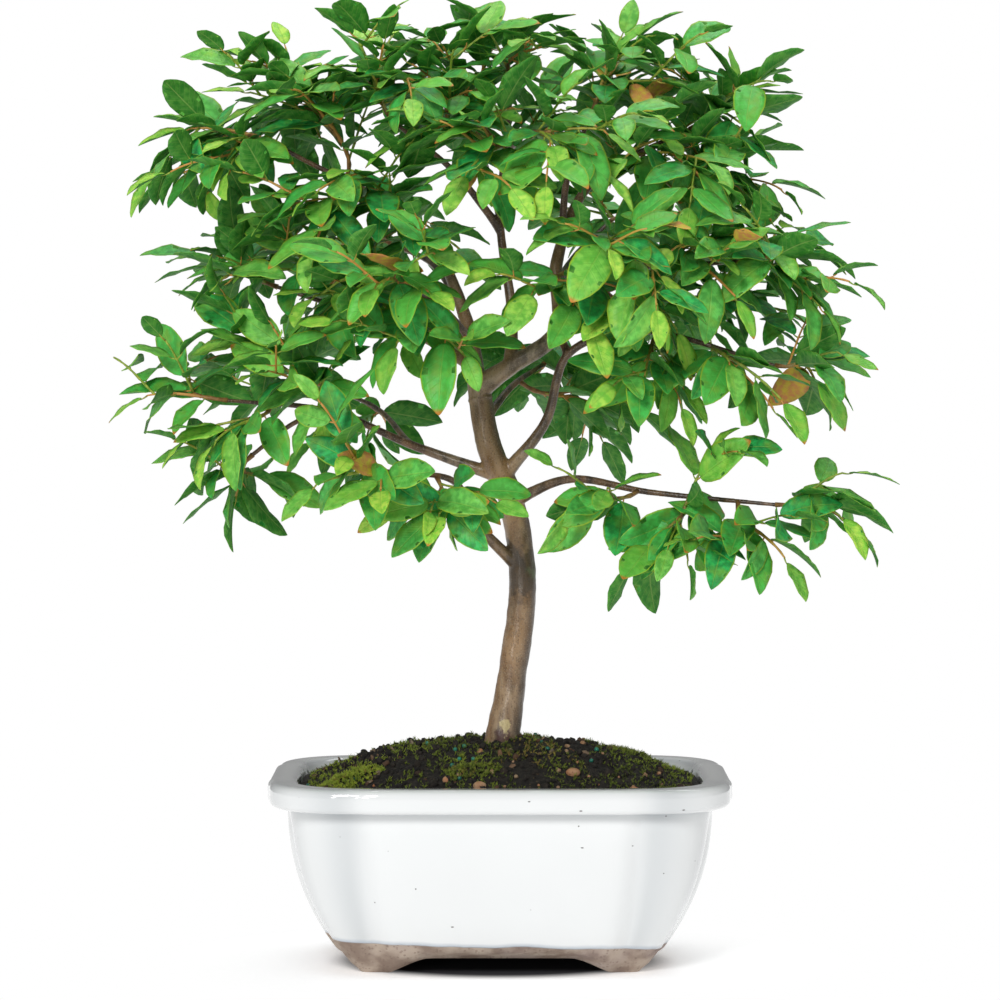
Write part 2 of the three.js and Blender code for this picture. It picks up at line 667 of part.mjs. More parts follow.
// A leaf as a long thin lozenge with a keel under its midrib; clearance grows it all round.
function leafBlade({ base, direction, facing, length }, clearance) {
  const across = facing.clone().cross(direction);
  const width = length * LEAF_WIDTH_SHARE;
  const profile = [[0, -0.5], [0.5, 0], [0, 0.5]].map(([out, along]) => new THREE.Vector2(out, along));
  const blade = new THREE.LatheGeometry(profile, 3); // three long edges: the two margins and the keel
  const [edgeSpan, keelSpan] = [Math.sqrt(3) / 2, 0.75]; // the unscaled blade's width and depth
  const [wide, deep] = [width + 2 * clearance, LEAF_THICKNESS + 2 * clearance];
  blade.scale(wide / edgeSpan, length + 2 * clearance, deep / keelSpan);
  blade.rotateZ(-Math.PI / 2).rotateX(Math.PI);
  const rooted = TWIG_TIP_RADIUS / 2; // how far the stalk's end reaches past the twig's axis
  blade.translate(length / 2 - rooted, 0, 0);
  blade.applyMatrix4(new THREE.Matrix4().makeBasis(direction, across, facing).setPosition(base));
  return solidOf(blade);
}

function boxesMeet(one, other) {
  return [0, 1, 2].every((axis) => one.min[axis] <= other.max[axis] && other.min[axis] <= one.max[axis]);
}

// Solids already in the crown, each with the shoot that owns it, so that a new leaf can be kept clear.
const grown = [];

function isClear(probe, owner) {
  const reach = probe.boundingBox();
  return grown.every(({ solid, owner: neighbour, reach: theirs }) => {
    return neighbour === owner || !boxesMeet(reach, theirs) || probe.intersect(solid).isEmpty();
  });
}

function grow(solid, owner) {
  grown.push({ solid, owner, reach: solid.boundingBox() });
}

function makeShoots() {
  const shoots = [];
  for (const limb of Object.values(LIMBS)) {
    for (const [share, ...tips] of limb.shoots) {
      const [tip, ...sideTips] = tips.map(treePoint);
      const { start, leaving } = shootStart(limb, share, tip);
      const main = twigCurve(start, leaving, tip);
      const sides = sideTips.map((sideTip, i) => {
        const fork = FIRST_FORK + FORK_SPACING * i;
        return twigCurve(onTwig(main, fork), main.getTangentAt(fork), sideTip);
      });
      const number = String(shoots.length + 1).padStart(2, "0");
      shoots.push({ name: `leafy_shoot_${number}`, twigs: [main, ...sides] });
    }
  }
  for (const shoot of shoots) {
    shoot.solids = shoot.twigs.map(twigTube);
    for (const solid of shoot.solids) grow(solid, shoot);
  }
  shoots.forEach((shoot, index) => {
    const draw = drawsFrom(index + 1);
    const places = shoot.twigs.flatMap((curve) => leafPlaces(curve, draw));
    const end = shoot.twigs[0].v3;
    places.sort((one, other) => one.base.distanceTo(end) - other.base.distanceTo(end));
    let leaves = 0;
    for (const place of places) {
      if (leaves < MOST_LEAVES && isClear(leafBlade(place, GAP), shoot)) {
        const blade = leafBlade(place, 0);
        grow(blade, shoot);
        shoot.solids.push(blade);
        leaves += 1;
      }
    }
  });
  return shoots;
}

// ---------------------------------------------------------------- the whole object

const bonsai = new THREE.Group();
bonsai.name = "bonsai_tree_in_pot";

bonsai.add(meshOf("pot", makePot(), FINISH.glaze));
bonsai.add(meshOf("soil", makeSoil(makeRoots(GAP)), FINISH.soil));

const limbs = Object.values(LIMBS).filter((limb) => limb.parent);
const tree = joined([makeRoots(0), ...limbs.map((limb) => limbTube(limb, 0))]);
bonsai.add(meshOf("trunk_and_limbs", tree, FINISH.bark));
grow(tree, "tree");

for (const [side, x] of [["left", -DRAIN_OFFSET], ["right", DRAIN_OFFSET]]) {
  bonsai.add(meshOf(`drain_screen_${side}`, makeScreen(x), FINISH.plastic));
  bonsai.add(meshOf(`screen_clip_${side}`, makeClip(x), FINISH.wire));
}

const raisedSoil = soilBody(GAP);
for (const [name, x, y, length, width, height] of MOSS) {
  bonsai.add(meshOf(name, makeLump(x, y, length, width, height, 5, raisedSoil), FINISH.moss));
}
for (const [name, x, y, size] of PEBBLES) {
  bonsai.add(meshOf(name, makeLump(x, y, size, 0.75 * size, 0.45 * size, 4, raisedSoil), FINISH.stone));
}

for (const shoot of makeShoots()) {
  bonsai.add(meshOf(shoot.name, joined(shoot.solids), FINISH.leaf));
}

export default bonsai;
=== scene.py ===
# %% [markdown]
# # A broad-leaved bonsai in a white glazed pot
# A small tree stands in a lobed pot. The imported model gives the frame: every piece below is made in
# metres, at the place where its own node already stands, so nothing is fitted by eye. The nodes' boxes
# are kept.

# %% Load the frame
import json
import math

import bpy
import numpy as np
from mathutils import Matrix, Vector, kdtree, noise

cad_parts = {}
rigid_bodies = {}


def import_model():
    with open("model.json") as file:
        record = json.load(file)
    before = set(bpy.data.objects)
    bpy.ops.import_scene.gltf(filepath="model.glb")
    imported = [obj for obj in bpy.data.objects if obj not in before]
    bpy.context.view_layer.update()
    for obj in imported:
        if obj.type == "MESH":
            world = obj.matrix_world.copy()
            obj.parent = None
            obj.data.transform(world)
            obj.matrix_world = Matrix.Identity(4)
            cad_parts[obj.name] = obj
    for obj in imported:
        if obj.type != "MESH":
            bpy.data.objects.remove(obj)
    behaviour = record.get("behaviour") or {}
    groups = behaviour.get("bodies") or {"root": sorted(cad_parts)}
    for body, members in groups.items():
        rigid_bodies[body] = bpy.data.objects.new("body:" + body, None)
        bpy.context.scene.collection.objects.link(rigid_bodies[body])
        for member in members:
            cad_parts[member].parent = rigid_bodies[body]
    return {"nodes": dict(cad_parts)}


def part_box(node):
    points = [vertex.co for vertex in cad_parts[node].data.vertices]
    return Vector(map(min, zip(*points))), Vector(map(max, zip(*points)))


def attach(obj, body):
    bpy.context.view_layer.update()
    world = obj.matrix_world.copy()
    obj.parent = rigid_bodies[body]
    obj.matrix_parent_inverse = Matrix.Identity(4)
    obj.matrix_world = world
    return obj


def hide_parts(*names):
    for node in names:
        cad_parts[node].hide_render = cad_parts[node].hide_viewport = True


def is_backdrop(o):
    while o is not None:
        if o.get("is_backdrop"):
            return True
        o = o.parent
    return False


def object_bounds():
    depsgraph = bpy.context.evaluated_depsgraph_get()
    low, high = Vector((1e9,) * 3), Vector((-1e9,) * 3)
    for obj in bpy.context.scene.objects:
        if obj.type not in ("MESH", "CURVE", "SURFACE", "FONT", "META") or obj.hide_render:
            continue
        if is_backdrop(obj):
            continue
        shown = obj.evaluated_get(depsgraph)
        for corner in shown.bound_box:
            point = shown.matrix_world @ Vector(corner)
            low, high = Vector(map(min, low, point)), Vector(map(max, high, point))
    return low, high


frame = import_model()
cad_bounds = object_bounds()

MM = 0.001
print("nodes in the frame:", len(frame["nodes"]))
print("size of the model in mm:", [round((high - low) / MM) for low, high in zip(*cad_bounds)])

# %% [markdown]
# ## Camera, floor and light
# A pot plant is usually pictured from a little above its rim, with a long lens so that the rim's ellipse
# stays narrow. The target is half-way up the tree. A large white surround lights the leaves from every
# side, and four soft panels add the gloss on the glaze and the bark. The Standard view keeps the whites
# white and the greens strong.

# %% Camera
VIEW_DOWN = math.radians(2.4)
VIEW_DISTANCE = 1.8
VIEW_WIDTH = 442 * MM
VIEW_CENTRE = Vector((0, 0, 204.5 * MM))


def aimed(name, data, place):
    """A camera or light at a place, turned to the middle of the view."""
    made = bpy.data.objects.new(name, data)
    bpy.context.scene.collection.objects.link(made)
    made.location = place
    made.rotation_euler = (VIEW_CENTRE - made.location).to_track_quat("-Z", "Y").to_euler()
    return made


camera_data = bpy.data.cameras.new("camera")
camera_data.lens = camera_data.sensor_width * VIEW_DISTANCE / VIEW_WIDTH
towards_camera = Vector((0, -math.cos(VIEW_DOWN), math.sin(VIEW_DOWN)))
bpy.context.scene.camera = aimed("camera", camera_data, VIEW_CENTRE + VIEW_DISTANCE * towards_camera)
bpy.context.scene.view_settings.view_transform = "Standard"
print("lens in mm:", round(camera_data.lens, 1))

# %% Soft panels and the white surround
PANELS = {  # where each panel stands, its width and its power
    "key_panel": ((-0.45, -1.6, 1.0), 0.5, 18),
    "low_panel": ((-0.55, -1.4, 0.24), 0.16, 1.5),
    "fill_panel": ((1.4, -0.8, 0.8), 1.2, 2.5),
    "top_panel": ((0.2, 0.4, 1.7), 1.2, 13),
}
for name, (place, width, power) in PANELS.items():
    panel_data = bpy.data.lights.new(name, "AREA")
    panel_data.size = width
    panel_data.energy = power
    aimed(name, panel_data, place)

SURROUND_SEEN = 1.0
SURROUND_LIGHT = 0.31


def make_surround():
    """A surround that looks white, but lights the scene less than it seems to."""
    world = bpy.data.worlds.new("surround")
    world.use_nodes = True
    tree = world.node_tree
    background = tree.nodes["Background"]
    background.inputs["Color"].default_value = (1, 1, 1, 1)
    seen = tree.nodes.new("ShaderNodeLightPath").outputs["Is Camera Ray"]
    level = tree.nodes.new("ShaderNodeMapRange")
    level.inputs["To Min"].default_value = SURROUND_LIGHT
    level.inputs["To Max"].default_value = SURROUND_SEEN
    tree.links.new(seen, level.inputs["Value"])
    tree.links.new(level.outputs["Result"], background.inputs["Strength"])
    bpy.context.scene.world = world


make_surround()
print("panels:", len(PANELS))

# %% [markdown]
# ## Shader helpers and shared effects
# Three effects turn up on nearly every natural surface here: cloudy mottling, small scattered speckles,
# and a slow drift of colour. Each one is a node group with its own sockets, so a material places it and
# gives it its own scale. The groups put out only masks and colours. The Principled shader stays in each
# material.

# %% Node helpers
def colour(red, green, blue):
    """A display colour from 0 to 255 as the linear colour that a shader takes."""
    shares = (red / 255, green / 255, blue / 255)
    return (*(s / 12.92 if s <= 0.04 else ((s + 0.055) / 1.055) ** 2.4 for s in shares), 1)


def feed(tree, sockets, inputs):
    """Gives each named socket a number, a colour or a link from another node."""
    for name, value in inputs.items():
        if isinstance(value, bpy.types.NodeSocket):
            tree.links.new(value, sockets[name])
        else:
            sockets[name].default_value = value


def node(tree, kind, inputs=None, **settings):
    made = tree.nodes.new(kind)
    for name, value in settings.items():
        setattr(made, name, value)
    feed(tree, made.inputs, inputs or {})
    return made


def maths(tree, operation, first, second=0.0):
    return node(tree, "ShaderNodeMath", {0: first, 1: second}, operation=operation).outputs[0]


def blended(tree, factor, first, second):
    """A colour between two others."""
    return node(tree, "ShaderNodeMix", {0: factor, 6: first, 7: second}, data_type="RGBA").outputs[2]


def tinted(tree, base, mask, strength, tint):
    """A base colour with a tint laid over it where a mask is."""
    return blended(tree, maths(tree, "MULTIPLY", mask, strength), base, tint)


def eased(tree, value, low, high, at_low=0.0, at_high=1.0):
    """A value that turns smoothly from one level to another between two limits."""
    inputs = {"Value": value, "From Min": low, "From Max": high, "To Min": at_low, "To Max": at_high}
    return node(tree, "ShaderNodeMapRange", inputs, interpolation_type="SMOOTHSTEP").outputs["Result"]


def object_place(tree):
    return node(tree, "ShaderNodeTexCoord").outputs["Object"]


def attribute(tree, name):
    """Three numbers that the mesh holds at each point."""
    held = node(tree, "ShaderNodeAttribute", attribute_name=name)
    return node(tree, "ShaderNodeSeparateXYZ", {0: held.outputs["Vector"]}).outputs


# %% Shared effects as node groups
def effect(name, inputs, outputs):
    """An empty node group with named sockets, and its input and output nodes."""
    group = bpy.data.node_groups.new(name, "ShaderNodeTree")
    for label, start in inputs.items():
        kind = "NodeSocketColor" if isinstance(start, tuple) else "NodeSocketFloat"
        group.interface.new_socket(label, in_out="INPUT", socket_type=kind).default_value = start
    for label, kind in outputs.items():
        group.interface.new_socket(label, in_out="OUTPUT", socket_type=kind)
    return group, group.nodes.new("NodeGroupInput").outputs, group.nodes.new("NodeGroupOutput").inputs


def stretched_place(group, given):
    """The place on the object, with its height times the effect's stretch."""
    stretch = node(group, "ShaderNodeCombineXYZ", {0: 1.0, 1: 1.0, 2: given["Stretch"]}).outputs[0]
    inputs = {0: object_place(group), 1: stretch}
    return node(group, "ShaderNodeVectorMath", inputs, operation="MULTIPLY").outputs[0]


def build_mottling():
    """Cloudy patches: a mask from fractal noise between two levels."""
    inputs = {"Scale": 100.0, "Detail": 3.0, "Stretch": 1.0, "Low": 0.4, "High": 0.6}
    group, given, out = effect("mottling", inputs, {"Mask": "NodeSocketFloat"})
    settings = {"Vector": stretched_place(group, given), "Scale": given["Scale"], "Detail": given["Detail"]}
    cloud = node(group, "ShaderNodeTexNoise", settings).outputs["Fac"]
    group.links.new(eased(group, cloud, given["Low"], given["High"]), out["Mask"])
    return group


def build_speckles():
    """Scattered dots: one in each cell, of which only a share shows."""
    inputs = {"Scale": 300.0, "Radius": 0.2, "Share": 0.5, "Stretch": 1.0}
    group, given, out = effect("speckles", inputs, {"Mask": "NodeSocketFloat"})
    settings = {"Vector": stretched_place(group, given), "Scale": given["Scale"]}
    cells = node(group, "ShaderNodeTexVoronoi", settings)
    chance = node(group, "ShaderNodeSeparateXYZ", {0: cells.outputs["Color"]}).outputs[0]
    edge = maths(group, "MULTIPLY", given["Radius"], 0.7)
    dot = eased(group, cells.outputs["Distance"], edge, given["Radius"], 1.0, 0.0)
    shows = maths(group, "LESS_THAN", chance, given["Share"])
    group.links.new(maths(group, "MULTIPLY", dot, shows), out["Mask"])
    return group


def build_drift():
    """A slow change of shade: darkens and lightens a colour over a wide scale."""
    inputs = {"Color": (1.0, 1.0, 1.0, 1.0), "Scale": 20.0, "Amount": 0.2}
    group, given, out = effect("drift", inputs, {"Color": "NodeSocketColor"})
    settings = {"Vector": object_place(group), "Scale": given["Scale"], "Detail": 2.0}
    cloud = node(group, "ShaderNodeTexNoise", settings).outputs["Fac"]
    swing = maths(group, "MULTIPLY", maths(group, "SUBTRACT", cloud, 0.5), given["Amount"])
    value = maths(group, "ADD", maths(group, "MULTIPLY", swing, 2.0), 1.0)
    shifted = node(group, "ShaderNodeHueSaturation", {"Value": value, "Color": given["Color"]})
    group.links.new(shifted.outputs[0], out["Color"])
    return group


EFFECTS = {"mottling": build_mottling(), "speckles": build_speckles(), "drift": build_drift()}
print("shared effects:", sorted(EFFECTS))


def apply_effect(tree, name, **inputs):
    """Places a shared effect in a material and gives its only output."""
    return node(tree, "ShaderNodeGroup", inputs, node_tree=EFFECTS[name]).outputs[0]


def mottled(tree, scale, detail, low, high, stretch=1.0):
    return apply_effect(tree, "mottling", Scale=scale, Detail=detail, Low=low, High=high, Stretch=stretch)


def speckled(tree, scale, radius, share, stretch=1.0):
    return apply_effect(tree, "speckles", Scale=scale, Radius=radius, Share=share, Stretch=stretch)


def new_material(name):
    """A material with its Principled shader, and its node tree."""
    made = bpy.data.materials.new(name)
    made.use_nodes = True
    return made, made.node_tree, made.node_tree.nodes["Principled BSDF"]


def set_finish(tree, shader, height=None, depth=0.0002, **inputs):
    """Sets or links the shader's inputs, and turns a height into its normal."""
    feed(tree, shader.inputs, {label.replace("_", " "): value for label, value in inputs.items()})
    if height is not None:
        relief = node(tree, "ShaderNodeBump", {"Height": height, "Distance": depth})
        tree.links.new(relief.outputs[0], shader.inputs["Normal"])


# %% [markdown]
# ## Bodies
# A body is a set of points, faces and marks. A mark is three numbers for each point, which a material
# reads, such as where a point is on its leaf. Small pieces of the same kind are made as bodies and joined
# into one object, so the scene stays light, while every body stays closed.

# %% Body helpers
def body_of(points, faces, marks=None):
    return {"points": np.asarray(points, float), "faces": faces, "marks": marks or {}}


def joined_bodies(bodies):
    """One body from many, which keep their own shells."""
    starts = np.cumsum([0] + [len(body["points"]) for body in bodies])
    faces = [tuple(i + start for i in face) for body, start in zip(bodies, starts) for face in body["faces"]]
    marks = {name: np.concatenate([body["marks"][name] for body in bodies]) for name in bodies[0]["marks"]}
    return body_of(np.concatenate([body["points"] for body in bodies]), faces, marks)


def piece_from(name, body, materials, face_materials=None):
    """A smooth-shaded object from a body."""
    mesh = bpy.data.meshes.new(name)
    mesh.from_pydata(body["points"].tolist(), [], body["faces"])
    for label, values in body["marks"].items():
        mesh.attributes.new(label, "FLOAT_VECTOR", "POINT").data.foreach_set("vector", values.ravel())
    for material in materials:
        mesh.materials.append(material)
    if face_materials is not None:
        mesh.polygons.foreach_set("material_index", face_materials)
    mesh.shade_smooth()
    piece = bpy.data.objects.new(name, mesh)
    bpy.context.scene.collection.objects.link(piece)
    return piece


def settle(piece, slot, *nodes):
    """The piece rides with the pot and stands for its nodes. slot is not used."""
    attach(piece, "root")
    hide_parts(*nodes)
    print(f"{piece.name}: {len(piece.data.polygons)} faces")


def loft_body(rings, marks=None):
    """A closed skin over rings that run anticlockwise, seen from the end towards which they are stacked."""
    count, width = len(rings), len(rings[0])
    faces = [tuple(range(width))[::-1], tuple(range((count - 1) * width, count * width))]
    for ring in range(count - 1):
        for i in range(width):
            here, following = ring * width + i, ring * width + (i + 1) % width
            faces.append((here, following, following + width, here + width))
    return body_of(np.concatenate(rings), faces, marks)


def unit(vectors):
    return vectors / np.maximum(np.linalg.norm(vectors, axis=-1, keepdims=True), 1e-12)


def crosswise(centres):
    """Two directions across a line at each of its points, turned as little as can be along it."""
    tangents = unit(np.gradient(centres, axis=0))
    side = np.cross(tangents[0], np.eye(3)[np.argmin(abs(tangents[0]))])
    sides = []
    for tangent in tangents:
        side = unit(side - tangent * side.dot(tangent))
        sides.append(side)
    return np.array(sides), np.cross(tangents, sides)


def tube_body(centres, radii, sides=8):
    """A closed round tube with a radius at each point of its centre line."""
    across, over = crosswise(centres)
    turns = np.linspace(0, 2 * np.pi, sides, endpoint=False)[None, :, None]
    spokes = np.cos(turns) * across[:, None] + np.sin(turns) * over[:, None]
    return loft_body(list(centres[:, None] + radii[:, None, None] * spokes))


def nearest_of(points, places):
    """The number of the nearest point to each place."""
    tree = kdtree.KDTree(len(points))
    for index, point in enumerate(points):
        tree.insert(point, index)
    tree.balance()
    return np.array([tree.find(place)[1] for place in places])


def mesh_numbers(data, label):
    """One vector for each entry of a mesh's list."""
    numbers = np.zeros(len(data) * 3)
    data.foreach_get(label, numbers)
    return numbers.reshape(-1, 3)


def roughness_at(points, scale, octaves=4):
    """Fractal noise from about -1 to 1 at each point."""
    return np.array([noise.fractal(Vector(point) * scale, 0.9, 2.1, octaves) for point in points])


# %% [markdown]
# ## The pot
# The pot was pressed in a mould, so its plan is the same at every height: four flat panels that stand a
# little proud of four rounded corners, with a soft groove between. The wall leans in towards the foot,
# and the rim is a thick roll. The whole pot can be one skin: under the floor, up the wall, over the rim
# and down inside. The arches between the feet are then only a rise in the height of its underside, which
# keeps their edges round, as wet clay leaves them.

# %% Sizes of the pot
pot_low, pot_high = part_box("pot")
POT_HALF = np.array([pot_high.x, pot_high.y])
POT_TOP = pot_high.z
CORNER_RADIUS = 36 * MM
CORNER_TIGHTENING = 0.7
PANEL_PROUD = 2.4 * MM
PANEL_EDGE = 9 * MM
GROOVE_DEPTH = 1.6 * MM
GROOVE_WIDTH = 7 * MM
RIM_CUT = 0.1  # share of the groove's depth that the rim keeps
GROOVE_SHIFT = 6 * MM  # from the groove's middle to the middle of the glaze that pools there and of its painted shade
RIM_STEP = 0.45  # share of the panel's step that the rim keeps
EDGE_REACH = 1.7 * MM
LOBE_CROWN = 1 * MM
WALL = 5 * MM
WALL_FLARE = 27.5 * MM
FLARE_POWER = 2.3
RIM_WIDTH = 13 * MM
RIM_HEIGHT = 10.6 * MM
RIM_OVERHANG = 8.5 * MM
RIM_ROUND = 3.4 * MM
RIM_CURL = 3 * MM
RIM_FILLET = 2 * MM
RIM_UNDERSIDE = POT_TOP - RIM_HEIGHT
FLOOR_UNDERSIDE = 6.7 * MM
FLOOR_TOP = 12.5 * MM
FOOT_LENGTH = 17.5 * MM
FOOT_DEPTH = 11 * MM
ARCH_SPLAY = 17 * MM
DRAIN_RADIUS = 8 * MM
DRAIN_OFFSET = 34 * MM
PANEL_POINTS = 34
CORNER_POINTS = 28
print("pot in mm:", [round(side / MM, 1) for side in (*(2 * POT_HALF), POT_TOP)])


# %% Plan of the pot
def eased_share(value):
    value = np.clip(value, 0, 1)
    return value * value * (3 - 2 * value)


def groove_cut(away):
    """How deep the groove is at a distance from its middle."""
    return GROOVE_DEPTH * np.exp(-((away / GROOVE_WIDTH) ** 2))


def plan(inset, height=0.0, cut=1.0):
    """The pot's outline at a distance in from the rim. cut is the share of the groove's depth."""
    half = POT_HALF - PANEL_PROUD - inset
    corner = CORNER_RADIUS - CORNER_TIGHTENING * inset
    ring = []
    for quarter in range(4):
        reach, other = (half[0], half[1]) if quarter % 2 == 0 else (half[1], half[0])
        panel_half = other - corner
        along = np.sin(np.linspace(-0.5, 0.5, PANEL_POINTS + 2)[1:-1] * np.pi)
        to_end = (1 - abs(along)) * panel_half
        proud = PANEL_PROUD * (RIM_STEP + (1 - RIM_STEP) * cut)
        rise = PANEL_PROUD - proud + proud * eased_share(to_end / PANEL_EDGE) - cut * groove_cut(to_end)
        panel = np.stack([reach + rise, along * panel_half], axis=1)
        turn = np.linspace(0, np.pi / 2, CORNER_POINTS + 1)
        to_groove = np.minimum(turn, np.pi / 2 - turn) * corner
        radius = corner + LOBE_CROWN * (1 - np.cos(4 * turn)) / 2 - cut * groove_cut(to_groove)
        radius = radius + PANEL_PROUD - proud
        lobe_x = reach - corner + radius * np.cos(turn)
        lobe = np.stack([lobe_x, panel_half + radius * np.sin(turn)], axis=1)
        outline = np.concatenate([panel, lobe])
        spin = quarter * np.pi / 2
        cosine, sine = math.cos(spin), math.sin(spin)
        ring.append(outline @ np.array([[cosine, sine], [-sine, cosine]]))
    flat = np.concatenate(ring)
    return np.column_stack([flat, np.full(len(flat), height)])


def wall_inset(height):
    return RIM_OVERHANG + WALL_FLARE * (1 - height / RIM_UNDERSIDE) ** FLARE_POWER


def arch_height(away, ground_half):
    """How high the underside is at a distance from the middle of one side."""
    turn = np.linspace(0, 1, 30)
    top_half = ground_half - ARCH_SPLAY
    shoulder = top_half + ARCH_SPLAY / 4
    reach = (1 - turn) ** 2 * ground_half + 2 * turn * (1 - turn) * shoulder + turn**2 * top_half
    rise = FLOOR_UNDERSIDE * (2 * turn - turn**2)
    return np.interp(abs(away), reach[::-1], rise[::-1])


def underside(points):
    foot = POT_HALF - wall_inset(0)
    front = arch_height(points[:, 0], foot[0] - FOOT_LENGTH)
    side = arch_height(points[:, 1], foot[1] - FOOT_DEPTH)
    return np.maximum(front, side)


print("points round the pot:", len(plan(0)))


# %% Skin of the pot
def arc(centre, radius, start, end, steps):
    """Points (inset, height) on a round of the rim's section."""
    turns = np.radians(np.linspace(start, end, steps))
    return [(centre[0] + radius * math.cos(t), centre[1] + radius * math.sin(t)) for t in turns]


def rim_section():
    """Inset and height from the top of the wall, over the rim, to its inner edge."""
    rim_low, rim_high = RIM_UNDERSIDE + RIM_CURL, POT_TOP - RIM_ROUND
    section = arc((RIM_OVERHANG - RIM_FILLET, RIM_UNDERSIDE - RIM_FILLET), RIM_FILLET, 0, 90, 6)
    section += arc((RIM_CURL, rim_low), RIM_CURL, 270, 180, 7)
    section += [(0, rim_low + share * (rim_high - rim_low)) for share in (0.33, 0.67)]
    section += arc((RIM_ROUND, rim_high), RIM_ROUND, 180, 90, 7)
    section += [(RIM_WIDTH / 2, POT_TOP)]
    section += arc((RIM_WIDTH - RIM_ROUND, rim_high), RIM_ROUND, 90, 0, 7)
    return section


def pot_rings():
    """Rings from the middle of the underside to the middle of the floor inside."""
    rings = []
    foot = plan(wall_inset(0) + 1 * MM)
    for share in np.linspace(0.02, 1, 26) ** 0.8:
        ring = foot * [share, share, 1]
        ring[:, 2] = underside(ring)
        rings.append(ring)
    low = foot[:, 2] + underside(foot)
    for share in (0.3, 0.7, 1):
        ring = plan(wall_inset(0) + (1 - share) * MM)
        ring[:, 2] = underside(ring) + share**2 * MM
        rings.append(ring)
    for share in np.linspace(0, 1, 24)[1:]:
        heights = low + MM + share * (RIM_UNDERSIDE - RIM_FILLET - MM - low)
        cut = 1 - (1 - RIM_CUT) * share**6
        rings.append(np.array([plan(wall_inset(z), z, cut)[i] for i, z in enumerate(heights)]))
    rings += [plan(inset, height, RIM_CUT) for inset, height in rim_section()[1:]]
    for height in np.linspace(RIM_UNDERSIDE, FLOOR_TOP, 12):
        rings.append(plan(wall_inset(height) + WALL, height))
    rings += [plan(wall_inset(FLOOR_TOP) + WALL, FLOOR_TOP) * [share, share, 1] for share in (0.7, 0.4, 0.02)]
    return rings


def groove_columns():
    """How near each point of the plan is to a groove, from 0 to 1, shifted a little onto the lobe; it places
    the glaze that pools there and the painted shade.
    """
    ring = plan(RIM_OVERHANG)[:, :2]
    count = PANEL_POINTS + CORNER_POINTS + 1
    starts = np.arange(0, len(ring), count)
    valleys = np.concatenate([ring[starts + PANEL_POINTS], ring[starts - 1]])
    nearest = np.linalg.norm(ring[:, None] - valleys[None], axis=2).min(axis=1)
    in_lobe = np.arange(len(ring)) % count >= PANEL_POINTS
    outwards = np.where(in_lobe, nearest, -nearest) - GROOVE_SHIFT
    width = np.where(outwards > 0, GROOVE_WIDTH * 1.5, GROOVE_WIDTH)
    return np.exp(-((outwards / width) ** 2))


def near_edge(ring, centre):
    """How near a ring of the section is to an (inset, height) of the rim, from 0 to 1."""
    inset, height = POT_HALF[0] - ring[:, 0].max(), ring[0, 2]
    away = math.hypot(inset - centre[0], height - centre[1])
    return math.exp(-((away / EDGE_REACH) ** 2))


def make_pot_body():
    rings = pot_rings()
    inner_edge = (RIM_WIDTH - RIM_ROUND / 3, POT_TOP - RIM_ROUND / 3)
    outer_edge = (RIM_ROUND, POT_TOP)
    under_rim = (RIM_OVERHANG - RIM_FILLET / 3, RIM_UNDERSIDE - RIM_FILLET / 3)
    grooves = groove_columns()
    marks = []
    for ring in rings:
        # thin glaze on the rim's edges, which along the rim's top is painted shade as well
        thin = np.full(len(ring), max(near_edge(ring, inner_edge), near_edge(ring, outer_edge) / 2))
        # glaze that pools, and painted shade, in the fillet under the rim
        pooled_glaze_and_painted_shade = np.full(len(ring), near_edge(ring, under_rim))
        marks.append(np.column_stack([grooves, thin, pooled_glaze_and_painted_shade]))
    return loft_body(rings, {"pot_place": np.concatenate(marks)})


pot_body = make_pot_body()
print("pot skin:", len(pot_body["points"]), "points")

# %% [markdown]
# ### Glaze and bare clay
# The glaze is a thick milky white that turns blue-grey where it pools in the grooves and under the rim. That
# blue-grey is painted shade as well, in and beside the grooves and under the rim. The glaze thins to a grey
# line on the rim's inner edge and a fainter one on its outer crest, and these lines are partly painted shade
# along the rim's top. It has a few dark pinholes, where gas came out in the kiln. The potter wiped it off
# the feet, so a wavering line parts it from the bare clay. One shader holds both, mixed by the height of a
# point and a little noise, since they are one fired skin.

# %% Glaze over clay
GLAZE_LINE = 13 * MM
GLAZE_LINE_WAVER = 2.4 * MM


